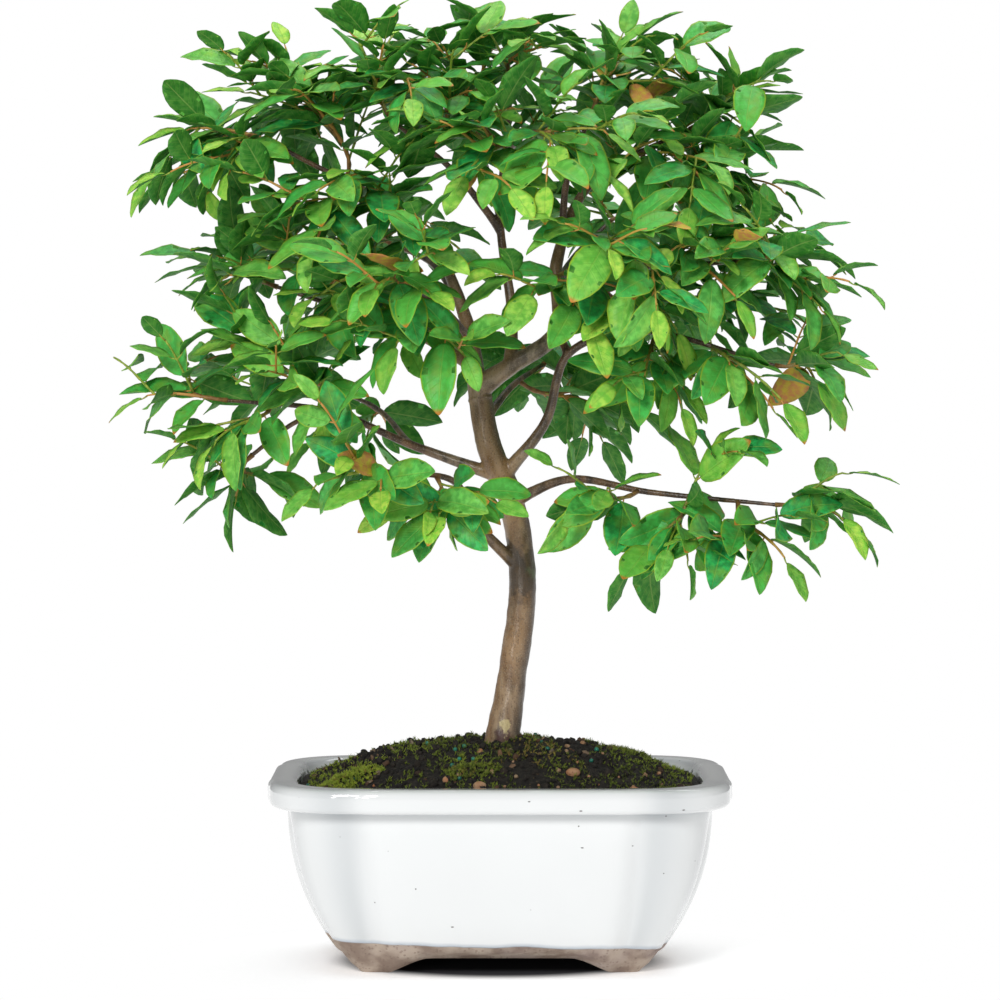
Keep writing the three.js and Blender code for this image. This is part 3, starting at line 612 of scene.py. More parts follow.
def make_glaze():
    material, tree, shader = new_material("milky_glaze_over_clay")
    groove, thin, pooled_glaze_and_painted_shade = attribute(tree, "pot_place")[:3]
    height = node(tree, "ShaderNodeSeparateXYZ", {0: object_place(tree)}).outputs
    waver = node(tree, "ShaderNodeTexNoise", {"Vector": object_place(tree), "Scale": 28.0, "Detail": 3.0})
    swing = maths(tree, "MULTIPLY", maths(tree, "SUBTRACT", waver.outputs["Fac"], 0.5), 2 * GLAZE_LINE_WAVER)
    tilt = maths(tree, "MULTIPLY", height[0], -0.03)
    line = maths(tree, "ADD", maths(tree, "ADD", swing, tilt), GLAZE_LINE)
    above = maths(tree, "SUBTRACT", height[2], line)
    glazed = eased(tree, above, -0.0003, 0.0003)
    rolled_edge = eased(tree, above, 0.0002, 0.0022, 1.0, 0.0)

    milky = apply_effect(tree, "drift", Color=colour(230, 232, 232), Scale=14.0, Amount=0.04)
    # painted shade with the glaze that pools: blue-grey in and beside the grooves and under the rim, where
    # shade falls
    grey = maths(tree, "ADD", maths(tree, "MULTIPLY", groove, 0.34), maths(tree, "MULTIPLY", pooled_glaze_and_painted_shade, 0.4))
    glaze_with_painted_shade = blended(tree, grey, milky, colour(148, 156, 161))
    # thin glaze on the rim's edges, and painted shade along the rim's top
    thin_glaze_and_painted_rim_shade = tinted(tree, glaze_with_painted_shade, thin, 0.6, colour(142, 143, 154))
    edged = tinted(tree, thin_glaze_and_painted_rim_shade, rolled_edge, 0.6, colour(150, 165, 182))
    pinholes = speckled(tree, 160.0, 0.06, 0.5)
    dashes = speckled(tree, 90.0, 0.07, 0.2, 2.2)
    pits = maths(tree, "MAXIMUM", pinholes, dashes)
    white = tinted(tree, edged, pits, 0.85, colour(78, 70, 66))

    clouds = mottled(tree, 90.0, 5.0, 0.35, 0.65)
    grit = speckled(tree, 650.0, 0.4, 0.4)
    clay = blended(tree, clouds, colour(134, 116, 103), colour(178, 162, 147))
    clay = tinted(tree, clay, grit, 0.45, colour(122, 102, 90))
    stain = mottled(tree, 35.0, 2.0, 0.5, 0.75)
    clay = tinted(tree, clay, stain, 0.5, colour(144, 128, 134))

    gloss = maths(tree, "ADD", 0.09, maths(tree, "MULTIPLY", pits, 0.4))
    rough = maths(tree, "ADD", maths(tree, "MULTIPLY", glazed, -0.78), 0.88)
    roughness = maths(tree, "MAXIMUM", rough, gloss)
    ripple = mottled(tree, 45.0, 1.0, 0.2, 0.8)
    relief = maths(tree, "ADD", maths(tree, "MULTIPLY", glazed, 0.6), maths(tree, "MULTIPLY", ripple, 0.22))
    relief = maths(tree, "SUBTRACT", relief, maths(tree, "MULTIPLY", pits, 0.5))
    gritty = maths(tree, "MULTIPLY", maths(tree, "SUBTRACT", 1.0, glazed), grit)
    relief = maths(tree, "ADD", relief, maths(tree, "MULTIPLY", gritty, 0.3))
    base = blended(tree, glazed, clay, white)
    set_finish(
        tree, shader, relief, 0.0004,
        Base_Color=base, Roughness=roughness, Coat_Weight=glazed, Coat_Roughness=0.05,
    )
    return material


glaze = make_glaze()
pot = piece_from("glazed_pot", pot_body, [glaze])

# %% [markdown]
# ### Drain holes
# Water leaves through two holes in the floor. They are the only cuts in the pot, so a Boolean with two
# plain cylinders is enough, and it is applied at once to keep one clean mesh.


# %% Drain holes
def bore_drain(piece, x):
    size = {"vertices": 48, "radius": DRAIN_RADIUS, "depth": 4 * FLOOR_TOP}
    bpy.ops.mesh.primitive_cylinder_add(**size, location=(x, 0, 0))
    drill = bpy.context.object
    cut = piece.modifiers.new("drain", "BOOLEAN")
    cut.object = drill
    cut.solver = "EXACT"
    apply_modifiers(piece)
    bpy.data.objects.remove(drill)


def apply_modifiers(piece):
    """The mesh as its modifiers leave it, with none left on the piece."""
    evaluated = piece.evaluated_get(bpy.context.evaluated_depsgraph_get())
    mesh = bpy.data.meshes.new_from_object(evaluated)
    piece.modifiers.clear()
    piece.data = mesh


def mark_again(piece, body, label):
    """Gives each point the marks of the nearest point of the body, because a Boolean clears them."""
    nearest = nearest_of(body["points"], mesh_numbers(piece.data.vertices, "co"))
    held = piece.data.attributes[label]
    held.data.foreach_set("vector", body["marks"][label][nearest].ravel())


for x in (-DRAIN_OFFSET, DRAIN_OFFSET):
    bore_drain(pot, x)
mark_again(pot, pot_body, "pot_place")
settle(pot, "glaze", "pot")

# %% [markdown]
# ## Screens and clips under the soil
# A plastic mesh over each hole keeps the soil in, and a bent wire holds it. Soil hides both, so their CAD
# solids are right as they are, and only need a finish: dull moulded plastic, and drawn wire.


# %% Screen plastic and clip wire
def make_plastic():
    material, tree, shader = new_material("moulded_screen_plastic")
    grain = mottled(tree, 900.0, 2.0, 0.3, 0.7)
    dust = mottled(tree, 120.0, 4.0, 0.5, 0.8)
    base = tinted(tree, colour(30, 31, 30), dust, 0.4, colour(88, 74, 60))
    set_finish(tree, shader, grain, 0.00005, Base_Color=base, Roughness=eased(tree, dust, 0, 1, 0.45, 0.8))
    return material


def make_wire():
    material, tree, shader = new_material("drawn_clip_wire")
    streaks = mottled(tree, 400.0, 2.0, 0.3, 0.7)
    base = blended(tree, streaks, colour(150, 146, 140), colour(196, 192, 184))
    set_finish(tree, shader, Base_Color=base, Roughness=eased(tree, streaks, 0, 1, 0.28, 0.5), Metallic=1.0)
    return material


screen_plastic, clip_wire = make_plastic(), make_wire()
for side in ("left", "right"):
    for name, finish in ((f"drain_screen_{side}", screen_plastic), (f"screen_clip_{side}", clip_wire)):
        part = frame["nodes"][name]
        part.data.materials.clear()
        part.data.materials.append(finish)
print("screens and clips finished")

# %% [markdown]
# ## Soil
# The soil fills the pot and mounds up round the trunk. It is near-black peat with bark crumbs. A
# displaced surface alone looks like cloth, so it only makes the ground: crumbs of many sizes are joined
# on top of it, each one a knobbly closed lump with its own shade.

# %% Shape of the soil
SOIL_INSET = 14 * MM
SOIL_HALF = POT_HALF - SOIL_INSET
SOIL_EDGE = POT_TOP - 4 * MM
SOIL_CROWN = 18 * MM
SOIL_LUMP = 1.1 * MM
TRUNK_CLEAR = 9 * MM
rng = np.random.default_rng(11)


def soil_height(x, y):
    away = (x / SOIL_HALF[0]) ** 2 + (y / SOIL_HALF[1]) ** 2
    crown = SOIL_CROWN * np.maximum(0, 1 - away**1.2)
    lumps = SOIL_LUMP * np.sin(x / (8 * MM) + 1) * np.cos(y / (7 * MM) + x / (23 * MM))
    return SOIL_EDGE + crown + lumps * np.maximum(0, 1 - away)


def ground_height(x, y):
    """The soil with its crumbly surface."""
    flat = np.column_stack([np.ravel(x), np.ravel(y), np.zeros(np.size(x))])
    inside = np.clip(1.04 - (flat[:, 0] / SOIL_HALF[0]) ** 4 - (flat[:, 1] / SOIL_HALF[1]) ** 4, 0, 1)
    crumble = roughness_at(flat, 260) * 1.5 * MM + roughness_at(flat, 55) * 1.9 * MM
    return soil_height(flat[:, 0], flat[:, 1]) + crumble * inside


def make_soil_body():
    rings = []
    gap = 0.3 * MM
    for height in (FLOOR_TOP + gap, 29 * MM, 47 * MM, 66 * MM):
        rings.append(plan(wall_inset(height) + WALL + gap, height))
    for share in np.linspace(1, 0.01, 46):
        ring = plan(SOIL_INSET) * [share, share, 1]
        ring[:, 2] = ground_height(ring[:, 0], ring[:, 1])
        rings.append(ring)
    return loft_body(rings, {"crumb_nature": np.full((sum(map(len, rings)), 3), 0.3)})


# %% Crumbs
def lump_template():
    """The points and faces of a small round lump."""
    bpy.ops.mesh.primitive_ico_sphere_add(subdivisions=2, radius=1)
    ball = bpy.context.object
    points = np.array([v.co for v in ball.data.vertices])
    faces = [tuple(polygon.vertices) for polygon in ball.data.polygons]
    bpy.data.objects.remove(ball)
    return points, faces


LUMP_POINTS, LUMP_FACES = lump_template()


def random_turn():
    """A rotation matrix that favours no direction."""
    w, x, y, z = unit(rng.normal(size=4))
    return np.array([
        [1 - 2 * (y * y + z * z), 2 * (x * y - z * w), 2 * (x * z + y * w)],
        [2 * (x * y + z * w), 1 - 2 * (x * x + z * z), 2 * (y * z - x * w)],
        [2 * (x * z - y * w), 2 * (y * z + x * w), 1 - 2 * (x * x + y * y)],
    ])


def lump_body(centre, size, knobbly, nature):
    """A knobbly closed lump: size is its three half sizes, and nature three numbers for its material."""
    bumps = LUMP_POINTS + knobbly * rng.normal(size=(1, 3))
    swell = 1 + knobbly * np.sin(bumps @ rng.normal(size=(3, 3)) * 3).sum(axis=1, keepdims=True) / 2
    points = (LUMP_POINTS * swell * size) @ random_turn().T + centre
    return body_of(points, LUMP_FACES, {"crumb_nature": np.tile(nature, (len(points), 1))})


def soil_places(count, reach=0.97):
    """Random places on the soil, clear of the trunk."""
    places = []
    while len(places) < count:
        x, y = rng.uniform(-1, 1, 2) * SOIL_HALF * reach
        inside = (x / SOIL_HALF[0]) ** 4 + (y / SOIL_HALF[1]) ** 4 < reach**4
        if inside and math.hypot(x, y) > TRUNK_CLEAR:
            places.append((x, y))
    return np.array(places)


def lumps_on(places, size_of, lift_of, knobbly, draws=1):
    """One body of lumps on the soil. size_of draws their half sizes, and lift_of says how far up they lie."""
    lumps = []
    for (x, y), z in zip(places, ground_height(places[:, 0], places[:, 1])):
        size = size_of()
        nature = (rng.random(), rng.random() if draws == 2 else 0, 0)
        lumps.append(lump_body((x, y, z + lift_of(size)), size, knobbly, nature))
    return joined_bodies(lumps)


def crumb_size():
    return rng.uniform(0.5, 1.0, 3) * (0.7 + 1.5 * rng.random() ** 2.5) * MM


# %% Soil material
def make_soil_finish():
    material, tree, shader = new_material("dark_peat_soil")
    shade, warmth, _ = attribute(tree, "crumb_nature")[:3]
    clouds = mottled(tree, 420.0, 5.0, 0.35, 0.7)
    fibres = speckled(tree, 700.0, 0.3, 0.16, 0.35)
    peat = blended(tree, clouds, colour(9, 8, 7), colour(34, 28, 23))
    shaded = tinted(tree, peat, shade, 0.4, colour(52, 42, 32))
    brown = blended(tree, eased(tree, warmth, 0.9, 0.98), shaded, colour(84, 60, 42))
    base = tinted(tree, brown, fibres, 0.4, colour(108, 92, 66))
    relief = mottled(tree, 1500.0, 4.0, 0.2, 0.8)
    set_finish(tree, shader, relief, 0.0003, Base_Color=base, Roughness=eased(tree, clouds, 0, 1, 0.95, 0.75))
    return material


CRUMB_COUNT = 1500
soil_finish = make_soil_finish()
soil = piece_from("potting_soil", make_soil_body(), [soil_finish])
settle(soil, "soil", "soil")
crumbs = lumps_on(soil_places(CRUMB_COUNT), crumb_size, lambda size: 0.3 * size.min(), 0.35, draws=2)
settle(piece_from("soil_crumbs", crumbs, [soil_finish]), "soil")

# %% [markdown]
# ## Feed prills, bark flakes and pebbles
# Slow-release feed lies on the soil as smooth teal balls 2 mm across. Orange-tan pebbles and grit lie
# along the front edge, and a few thin flakes of bark stick up. The three larger pebbles have nodes of
# their own, so each is built at its node's box.


# %% Stone, prill and flake materials
def make_stone():
    material, tree, shader = new_material("tan_pebble_stone")
    shade, warmth, _ = attribute(tree, "crumb_nature")[:3]
    clouds = mottled(tree, 260.0, 5.0, 0.3, 0.7)
    pits = speckled(tree, 900.0, 0.35, 0.35)
    tan = blended(tree, warmth, colour(142, 120, 92), colour(176, 108, 62))
    mixed = tinted(tree, tan, clouds, 0.5, colour(186, 160, 128))
    dark = tinted(tree, mixed, pits, 0.5, colour(92, 62, 42))
    base = tinted(tree, dark, shade, 0.35, colour(88, 64, 48))
    set_finish(tree, shader, clouds, 0.0003, Base_Color=base, Roughness=eased(tree, pits, 0, 1, 0.7, 0.9))
    return material


def make_prill_finish():
    material, tree, shader = new_material("teal_feed_prill")
    shade = attribute(tree, "crumb_nature")[0]
    clouds = mottled(tree, 500.0, 3.0, 0.3, 0.8)
    teal = blended(tree, shade, colour(12, 84, 70), colour(30, 122, 100))
    base = tinted(tree, teal, clouds, 0.4, colour(70, 134, 112))
    set_finish(tree, shader, clouds, 0.0001, Base_Color=base, Roughness=eased(tree, clouds, 0, 1, 0.3, 0.5))
    return material


def make_flake_finish():
    material, tree, shader = new_material("pale_bark_flake")
    shade = attribute(tree, "crumb_nature")[0]
    fibres = mottled(tree, 300.0, 5.0, 0.3, 0.7, 4.0)
    weathered = blended(tree, fibres, colour(78, 66, 54), colour(138, 124, 104))
    base = blended(tree, shade, weathered, colour(112, 82, 58))
    set_finish(tree, shader, fibres, 0.0003, Base_Color=base, Roughness=eased(tree, fibres, 0, 1, 0.75, 0.95))
    return material


# %% Pebbles, grit, prills and flakes
PEBBLE_NODES = ("pebble_left", "pebble_middle", "pebble_right")


def make_pebble(name, finish):
    low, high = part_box(name)
    centre, half = np.array(low + high) / 2, np.array(high - low) / 2
    swell = 1 + 0.1 * roughness_at(LUMP_POINTS + centre * 300, 1.6)[:, None]
    points = LUMP_POINTS * np.minimum(swell, 1) * half + centre
    nature = np.tile([rng.uniform(0, 0.4), rng.uniform(0.4, 1), 0], (len(points), 1))
    piece = piece_from(f"{name}_stone", body_of(points, LUMP_FACES, {"crumb_nature": nature}), [finish])
    rounding = piece.modifiers.new("rounding", "SUBSURF")
    rounding.levels = rounding.render_levels = 1
    apply_modifiers(piece)
    settle(piece, "pebble", name)


def grit_places(count):
    """Places for small stones, most of them near the front and right edges."""
    places = soil_places(4 * count)
    near_edge = -places[:, 1] / SOIL_HALF[1] + 0.5 * places[:, 0] / SOIL_HALF[0]
    near_edge += rng.normal(0, 0.35, len(places))
    return places[np.argsort(-near_edge)[:count]]


def grit_size():
    return rng.uniform(0.6, 1.0, 3) * rng.uniform(0.6, 1.6) * MM


def prill_size():
    return rng.uniform(0.92, 1.08, 3) * MM


def flake_size():
    """A thin chip of bark is a very flat lump."""
    return np.array([rng.uniform(1.2, 2.6), rng.uniform(0.7, 1.4), 0.3]) * MM


GRIT_COUNT, PRILL_COUNT, FLAKE_COUNT = 44, 30, 40
PRILL_LIFT = 0.6 * MM
FLAKE_LIFT = 0.7 * MM
stone = make_stone()
for name in PEBBLE_NODES:
    make_pebble(name, stone)
grit = lumps_on(grit_places(GRIT_COUNT), grit_size, lambda size: 0.4 * size.min(), 0.25, draws=2)
settle(piece_from("grit", grit, [stone]), "pebble")
prills = lumps_on(soil_places(PRILL_COUNT), prill_size, lambda size: PRILL_LIFT, 0.02)
settle(piece_from("feed_prills", prills, [make_prill_finish()]), "soil")
flakes = lumps_on(soil_places(FLAKE_COUNT), flake_size, lambda size: FLAKE_LIFT, 0.3)
settle(piece_from("bark_flakes", flakes, [make_flake_finish()]), "soil")

# %% [markdown]
# ## Moss
# Moss grows as tufts of thin upright sprigs. Each sprig is a few closed spikes from one foot, and a patch
# is some hundreds of sprigs over a low cushion, leaning outwards at its rim. The front left patch is
# bright yellow-green and the others are darker. Loose sprigs cover more of the soil.

# %% Sprigs
SPIKE_POINTS = np.array([
    [1, 0, 0], [-0.5, 0.87, 0], [-0.5, -0.87, 0],
    [0.5, 0, 0.55], [-0.25, 0.43, 0.55], [-0.25, -0.43, 0.55], [0, 0, 1],
])
SPIKE_FACES = [(2, 1, 0), (0, 1, 4, 3), (1, 2, 5, 4), (2, 0, 3, 5), (3, 4, 6), (4, 5, 6), (5, 3, 6)]
SPRIG_ARMS = 4
MAIN_SPIKE_WIDTH = 0.22 * MM
ARM_WIDTH = 0.2 * MM
PATCH_SPRIG = (1.6 * MM, 3.0 * MM)
LOOSE_SPRIG = (1.4 * MM, 3.2 * MM)
SPRIG_FOOT = 0.6 * MM


def spike_body(foot, lean, length, width, nature):
    """One closed tapering spike from a foot, along a lean."""
    up = unit(lean)
    side = unit(np.cross(up, [0.3, 0.9, 0.1]))
    frame_of = np.stack([side * width, np.cross(up, side) * width, up * length])
    points = SPIKE_POINTS @ frame_of + foot
    tip = SPIKE_POINTS[:, 2]
    marks = np.column_stack([np.full(7, nature[0]), np.full(7, nature[1]), tip])
    return body_of(points, SPIKE_FACES, {"moss_nature": marks})


def sprig_bodies(foot, lean, tall, nature):
    """A sprig: one upright spike and a ring that leans out."""
    spikes = [spike_body(foot, lean, tall, MAIN_SPIKE_WIDTH, nature)]
    turn = rng.uniform(0, 2 * np.pi)
    for i in range(SPRIG_ARMS):
        angle = turn + 2 * np.pi * i / SPRIG_ARMS
        out = lean + rng.uniform(0.5, 1.1) * np.array([math.cos(angle), math.sin(angle), 0.1])
        start = foot + unit(lean) * tall * rng.uniform(0, 0.5)
        spikes.append(spike_body(start, out, tall * rng.uniform(0.45, 0.8), ARM_WIDTH, nature))
    return spikes


def make_patch(name, count, bright):
    """Sprigs over the low cushion of one moss node."""
    low, high = (np.array(corner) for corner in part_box(name))
    centre, half = (low + high) / 2, (high - low) / 2
    bodies = []
    for _ in range(count):
        away, angle = math.sqrt(rng.random()), rng.uniform(0, 2 * np.pi)
        across = np.array([math.cos(angle), math.sin(angle)]) * away
        x, y = centre[:2] + across * half[:2]
        ground = soil_height(x, y)
        swell = max(0.0, 1 - away**2) * (high[2] - low[2]) * 0.35
        foot = np.array([x, y, ground + swell - SPRIG_FOOT])
        lean = np.array([*(across * 0.7), 1.0]) + rng.normal(0, 0.25, 3)
        tall = rng.uniform(*PATCH_SPRIG)
        nature = (np.clip(bright + rng.normal(0, 0.15), 0, 1), rng.random())
        bodies += sprig_bodies(foot, lean, tall, nature)
    return bodies


# %% Moss material
def make_moss_finish():
    material, tree, shader = new_material("feathery_moss")
    bright, warmth, tip = attribute(tree, "moss_nature")[:3]
    clouds = mottled(tree, 220.0, 3.0, 0.35, 0.65)
    deep = blended(tree, clouds, colour(22, 34, 10), colour(62, 78, 20))
    fresh = blended(tree, clouds, colour(110, 138, 24), colour(172, 190, 50))
    green = blended(tree, bright, deep, fresh)
    straw = blended(tree, eased(tree, warmth, 0.8, 1.0), green, colour(142, 116, 56))
    tipped = maths(tree, "MULTIPLY", tip, eased(tree, bright, 0, 1, 0.16, 0.45))
    base = blended(tree, tipped, straw, colour(186, 196, 84))
    set_finish(tree, shader, clouds, 0.0002, Base_Color=base, Roughness=eased(tree, clouds, 0, 1, 0.8, 0.6))
    return material


MOSS_PATCHES = {  # sprigs and brightness
    "moss_patch_front_left": (420, 0.9),
    "moss_patch_front": (220, 0.35),
    "moss_patch_right": (280, 0.3),
    "moss_patch_back": (320, 0.45),
}
moss_finish = make_moss_finish()
for name, (count, bright) in MOSS_PATCHES.items():
    patch = piece_from(f"{name}_sprigs", joined_bodies(make_patch(name, count, bright)), [moss_finish])
    settle(patch, "moss", name)

# %% Loose sprigs
STRAW_PLACE = np.array([16, -22]) * MM
STRAW_REACH = 20 * MM
FRESH_PLACE = np.array([-66, -22]) * MM
FRESH_REACH = 30 * MM
LOOSE_COUNT = 4600
BARE_BELOW = -0.22


def near_place(place, x, y, reach):
    """1 at a place on the soil, fading over its reach."""
    return math.exp(-((np.hypot(*(place - [x, y])) / reach) ** 2))


def make_loose_sprigs(count):
    """Sprigs over most of the soil: straw-coloured in front of the trunk, fresh green at the left end."""
    places = soil_places(count)
    bodies = []
    for (x, y), z in zip(places, ground_height(places[:, 0], places[:, 1])):
        cover = noise.noise(Vector((x, y, 0)) * 45)
        if cover < BARE_BELOW:
            continue
        straw = near_place(STRAW_PLACE, x, y, STRAW_REACH)
        fresh = near_place(FRESH_PLACE, x, y, FRESH_REACH)
        bright = np.clip(0.16 + 0.7 * max(cover, 0) + 0.6 * fresh + rng.normal(0, 0.12), 0, 1)
        warmth = np.clip(rng.random() * 0.85 + 0.5 * straw, 0, 1)
        lean = np.array([0, 0, 1.0]) + rng.normal(0, 0.5, 3)
        tall = rng.uniform(*LOOSE_SPRIG)
        bodies += sprig_bodies(np.array([x, y, z - 0.2 * MM]), lean, tall, (bright, warmth))
    return bodies


loose = piece_from("loose_moss_sprigs", joined_bodies(make_loose_sprigs(LOOSE_COUNT)), [moss_finish])
settle(loose, "moss")

# %% [markdown]
# ## How the tree grows
# Each limb is a smooth line through a few chosen points, and starts on the line of the limb that it grew
# from. A young twig leaves the wood at a right angle and arches over to its tip, and its leaves stand in
# opposite pairs. The same rule sets out the CAD solids, so each spray below fills the place of its own
# node. The heights in the table are above the rim, and all its numbers are in millimetres.

# %% Chosen points of the limbs, and tips of the shoots
LIMBS = {
    "trunk": {
        "route": [
            [0, 0, -20, 8], [0, 0, 5, 8.2], [5, 0, 40, 6.5], [10, 0, 85, 6],
            [5, 0, 120, 5.6], [-5, 0, 145, 5.4], [-10, 0, 175, 5],
        ],
        "shoots": [],
    },
    "left_leader": {
        "parent": "trunk",
        "route": [[-10, 0, 165, 4], [-15, 5, 200, 3], [-35, 0, 240, 2], [-95, -10, 275, 1]],
        "shoots": [
            [1, [-136, -6, 284], [-118, -30, 270], [-128, 22, 268]],
            [0.8, [-90, -28, 304], [-110, -2, 300], [-98, 32, 292]],
            [0.56, [-64, -52, 264], [-88, -44, 250]],
        ],
    },
    "upper_left": {
        "parent": "left_leader",
        "route": [[-10, 5, 180, 3.4], [-40, 10, 195, 2], [-100, 20, 215, 1]],
        "shoots": [
            [1, [-126, 24, 222], [-110, 44, 232]],
            [0.75, [-96, -12, 236], [-118, -6, 218]],
            [0.5, [-60, -32, 216], [-80, -46, 210]],
        ],
    },
    "left_long": {
        "parent": "trunk",
        "route": [[0, 0, 130, 3], [-40, 5, 145, 1.9], [-75, -10, 160, 1.4], [-120, -20, 165, 0.9]],
        "shoots": [
            [1, [-154, -22, 167], [-138, -2, 178]],
            [0.85, [-122, -52, 148], [-134, -36, 150]],
            [0.64, [-100, -42, 178], [-76, -52, 158], [-112, -16, 190]],
        ],
    },
    "left_droop": {
        "parent": "left_long",
        "route": [[-75, -10, 160, 1.3], [-90, -5, 155, 1.2], [-110, 0, 140, 1]],
        "shoots": [[1, [-117, 4, 122], [-100, 16, 130], [-132, 8, 140]]],
    },
    "left_low": {
        "parent": "trunk",
        "route": [[10, 0, 90, 3], [-10, -10, 110, 2.1], [-20, -35, 130, 1.6], [-45, -60, 135, 0.9]],
        "shoots": [
            [1, [-78, -74, 130], [-62, -84, 142]],
            [0.76, [-22, -56, 118], [-44, -52, 122]],
        ],
    },
    "left_back": {
        "parent": "left_long",
        "route": [[-40, 5, 145, 1.5], [-55, 35, 160, 1.2], [-80, 60, 170, 0.9]],
        "shoots": [
            [1, [-108, 70, 166], [-92, 88, 176]],
            [0.6, [-52, 74, 152], [-84, 48, 146]],
        ],
    },
    "right_leader": {
        "parent": "trunk",
        "route": [
            [-10, 0, 170, 4.6], [5, -5, 180, 4], [25, -5, 195, 3.6],
            [25, 0, 225, 2.8], [40, 10, 260, 2], [85, 15, 285, 1.2],
        ],
        "shoots": [
            [1, [102, 8, 300], [108, -12, 284], [84, 26, 306]],
            [0.85, [112, 26, 262], [98, -18, 264]],
            [0.72, [70, -36, 278], [88, -52, 268]],
        ],
    },
    "centre_leader": {
        "parent": "right_leader",
        "route": [[5, -5, 180, 3], [5, 5, 205, 2.4], [0, 10, 245, 1.8], [5, -10, 300, 0.9]],
        "shoots": [
            [1, [-6, -14, 328], [18, -28, 318]],
            [0.8, [-30, 16, 324], [-4, 28, 320]],
        ],
    },
    "crown_left": {
        "parent": "centre_leader",
        "route": [[0, 10, 240, 1.9], [-20, 0, 265, 1.5], [-45, -20, 285, 0.9]],
        "shoots": [
            [1, [-62, -28, 322], [-76, -8, 312]],
            [0.7, [-20, -38, 316], [-42, -52, 304]],
        ],
    },
    "crown_right": {
        "parent": "right_leader",
        "route": [[25, 0, 235, 1.9], [30, -5, 265, 1.5], [40, -10, 290, 0.9]],
        "shoots": [
            [1, [48, -12, 312], [68, -22, 304], [50, 20, 308]],
        ],
    },
    "right_canopy": {
        "parent": "right_leader",
        "route": [[25, 0, 205, 2.5], [45, -15, 220, 1.8], [100, -35, 225, 1]],
        "shoots": [
            [1, [128, -40, 216], [122, -16, 240], [118, -58, 228]],
            [0.7, [84, -62, 232], [100, -64, 210]],
            [0.5, [56, -50, 204], [76, -44, 196]],
        ],
    },
    "right_rise": {
        "parent": "trunk",
        "route": [
            [0, 0, 130, 3.2], [20, -5, 155, 2.2], [30, -10, 185, 1.9],
            [60, -20, 195, 1.5], [120, -35, 180, 0.9],
        ],
        "shoots": [
            [1, [146, -40, 186], [140, -26, 168]],
            [0.82, [98, -58, 182], [120, -60, 166]],
            [0.66, [62, -52, 176], [78, -42, 164]],
        ],
    },
    "right_back": {
        "parent": "right_rise",
        "route": [[30, -10, 185, 1.8], [25, 5, 200, 1.5], [65, 35, 220, 0.9]],
        "shoots": [
            [1, [100, 46, 220], [80, 66, 230]],
            [0.7, [94, 20, 207], [126, 18, 204]],
        ],
    },
    "right_low": {
        "parent": "trunk",
        "route": [[5, 0, 120, 2.8], [30, -10, 130, 1.9], [65, -25, 125, 1.4], [120, -40, 120, 0.9]],
        "shoots": [
            [1, [148, -42, 134], [146, -50, 116]],
            [0.86, [122, -56, 98], [100, -56, 106]],
            [0.7, [72, -62, 104], [56, -54, 94], [90, -46, 142]],
            [0.5, [30, -50, 116], [46, -58, 128]],
        ],
    },
    "front_left": {
        "parent": "left_leader",
        "route": [[-15, 5, 190, 1.9], [-25, -30, 205, 1.6], [-40, -60, 215, 0.9]],
        "shoots": [
            [1, [-52, -94, 214], [-28, -92, 228]],
            [0.65, [-44, -62, 190], [-16, -58, 186]],
        ],
    },
    "front_right": {
        "parent": "right_leader",
        "route": [[25, -5, 200, 1.9], [30, -35, 220, 1.6], [40, -65, 230, 0.9]],
        "shoots": [
            [1, [46, -102, 230], [66, -88, 220]],
            [0.65, [14, -72, 212], [38, -74, 198]],
        ],
    },
    "front_crown": {
        "parent": "centre_leader",
        "route": [[5, 0, 270, 1.5], [10, -30, 280, 1.2], [15, -55, 280, 0.8]],
        "shoots": [
            [1, [22, -82, 274], [44, -72, 280]],
            [0.7, [-14, -76, 262], [-22, -60, 284]],
        ],
    },
    "back_left": {
        "parent": "left_leader",
        "route": [[-15, 5, 205, 2], [-30, 40, 225, 1.6], [-50, 70, 235, 1]],
        "shoots": [
            [1, [-58, 98, 238], [-34, 94, 246], [-84, 82, 222]],
        ],
    },
    "back_right": {
        "parent": "right_leader",
        "route": [[25, 0, 215, 2], [35, 40, 230, 1.6], [50, 70, 245, 1]],
        "shoots": [
            [1, [58, 98, 242], [30, 96, 252], [88, 78, 248]],
        ],
    },
    "back_low": {
        "parent": "trunk",
        "route": [[-5, 0, 155, 2], [5, 30, 170, 1.6], [20, 65, 180, 1]],
        "shoots": [
            [1, [28, 94, 184], [-6, 90, 180]],
            [0.6, [46, 62, 160], [62, 78, 176]],
        ],
    },
    "back_crown": {
        "parent": "centre_leader",
        "route": [[0, 10, 245, 1.5], [-5, 35, 265, 1.2], [-10, 60, 285, 0.8]],
        "shoots": [
            [1, [-14, 86, 290], [-46, 66, 298]],
            [0.7, [28, 64, 296], [50, 48, 292]],
        ],
    },
}
print("limbs:", len(LIMBS), "shoots:", sum(len(limb["shoots"]) for limb in LIMBS.values()))


# %% Smooth lines
class Line:
    """A line in space, walked by its length. point_at takes the line's own parameter, from 0 to 1."""

    def __init__(self, point_at):
        self.point_at = point_at
        self.steps = np.linspace(0, 1, 201)
        self.samples = np.array([point_at(step) for step in self.steps])
        legs = np.linalg.norm(np.diff(self.samples, axis=0), axis=1)
        self.walked = np.concatenate([[0], np.cumsum(legs)])
        self.length = self.walked[-1]

    def parameter(self, share):
        return float(np.interp(share * self.length, self.walked, self.steps))

    def point(self, share):
        return self.point_at(self.parameter(share))

    def tangent(self, share):
        at = self.parameter(share)
        return unit(self.point_at(min(at + 1e-4, 1)) - self.point_at(max(at - 1e-4, 0)))


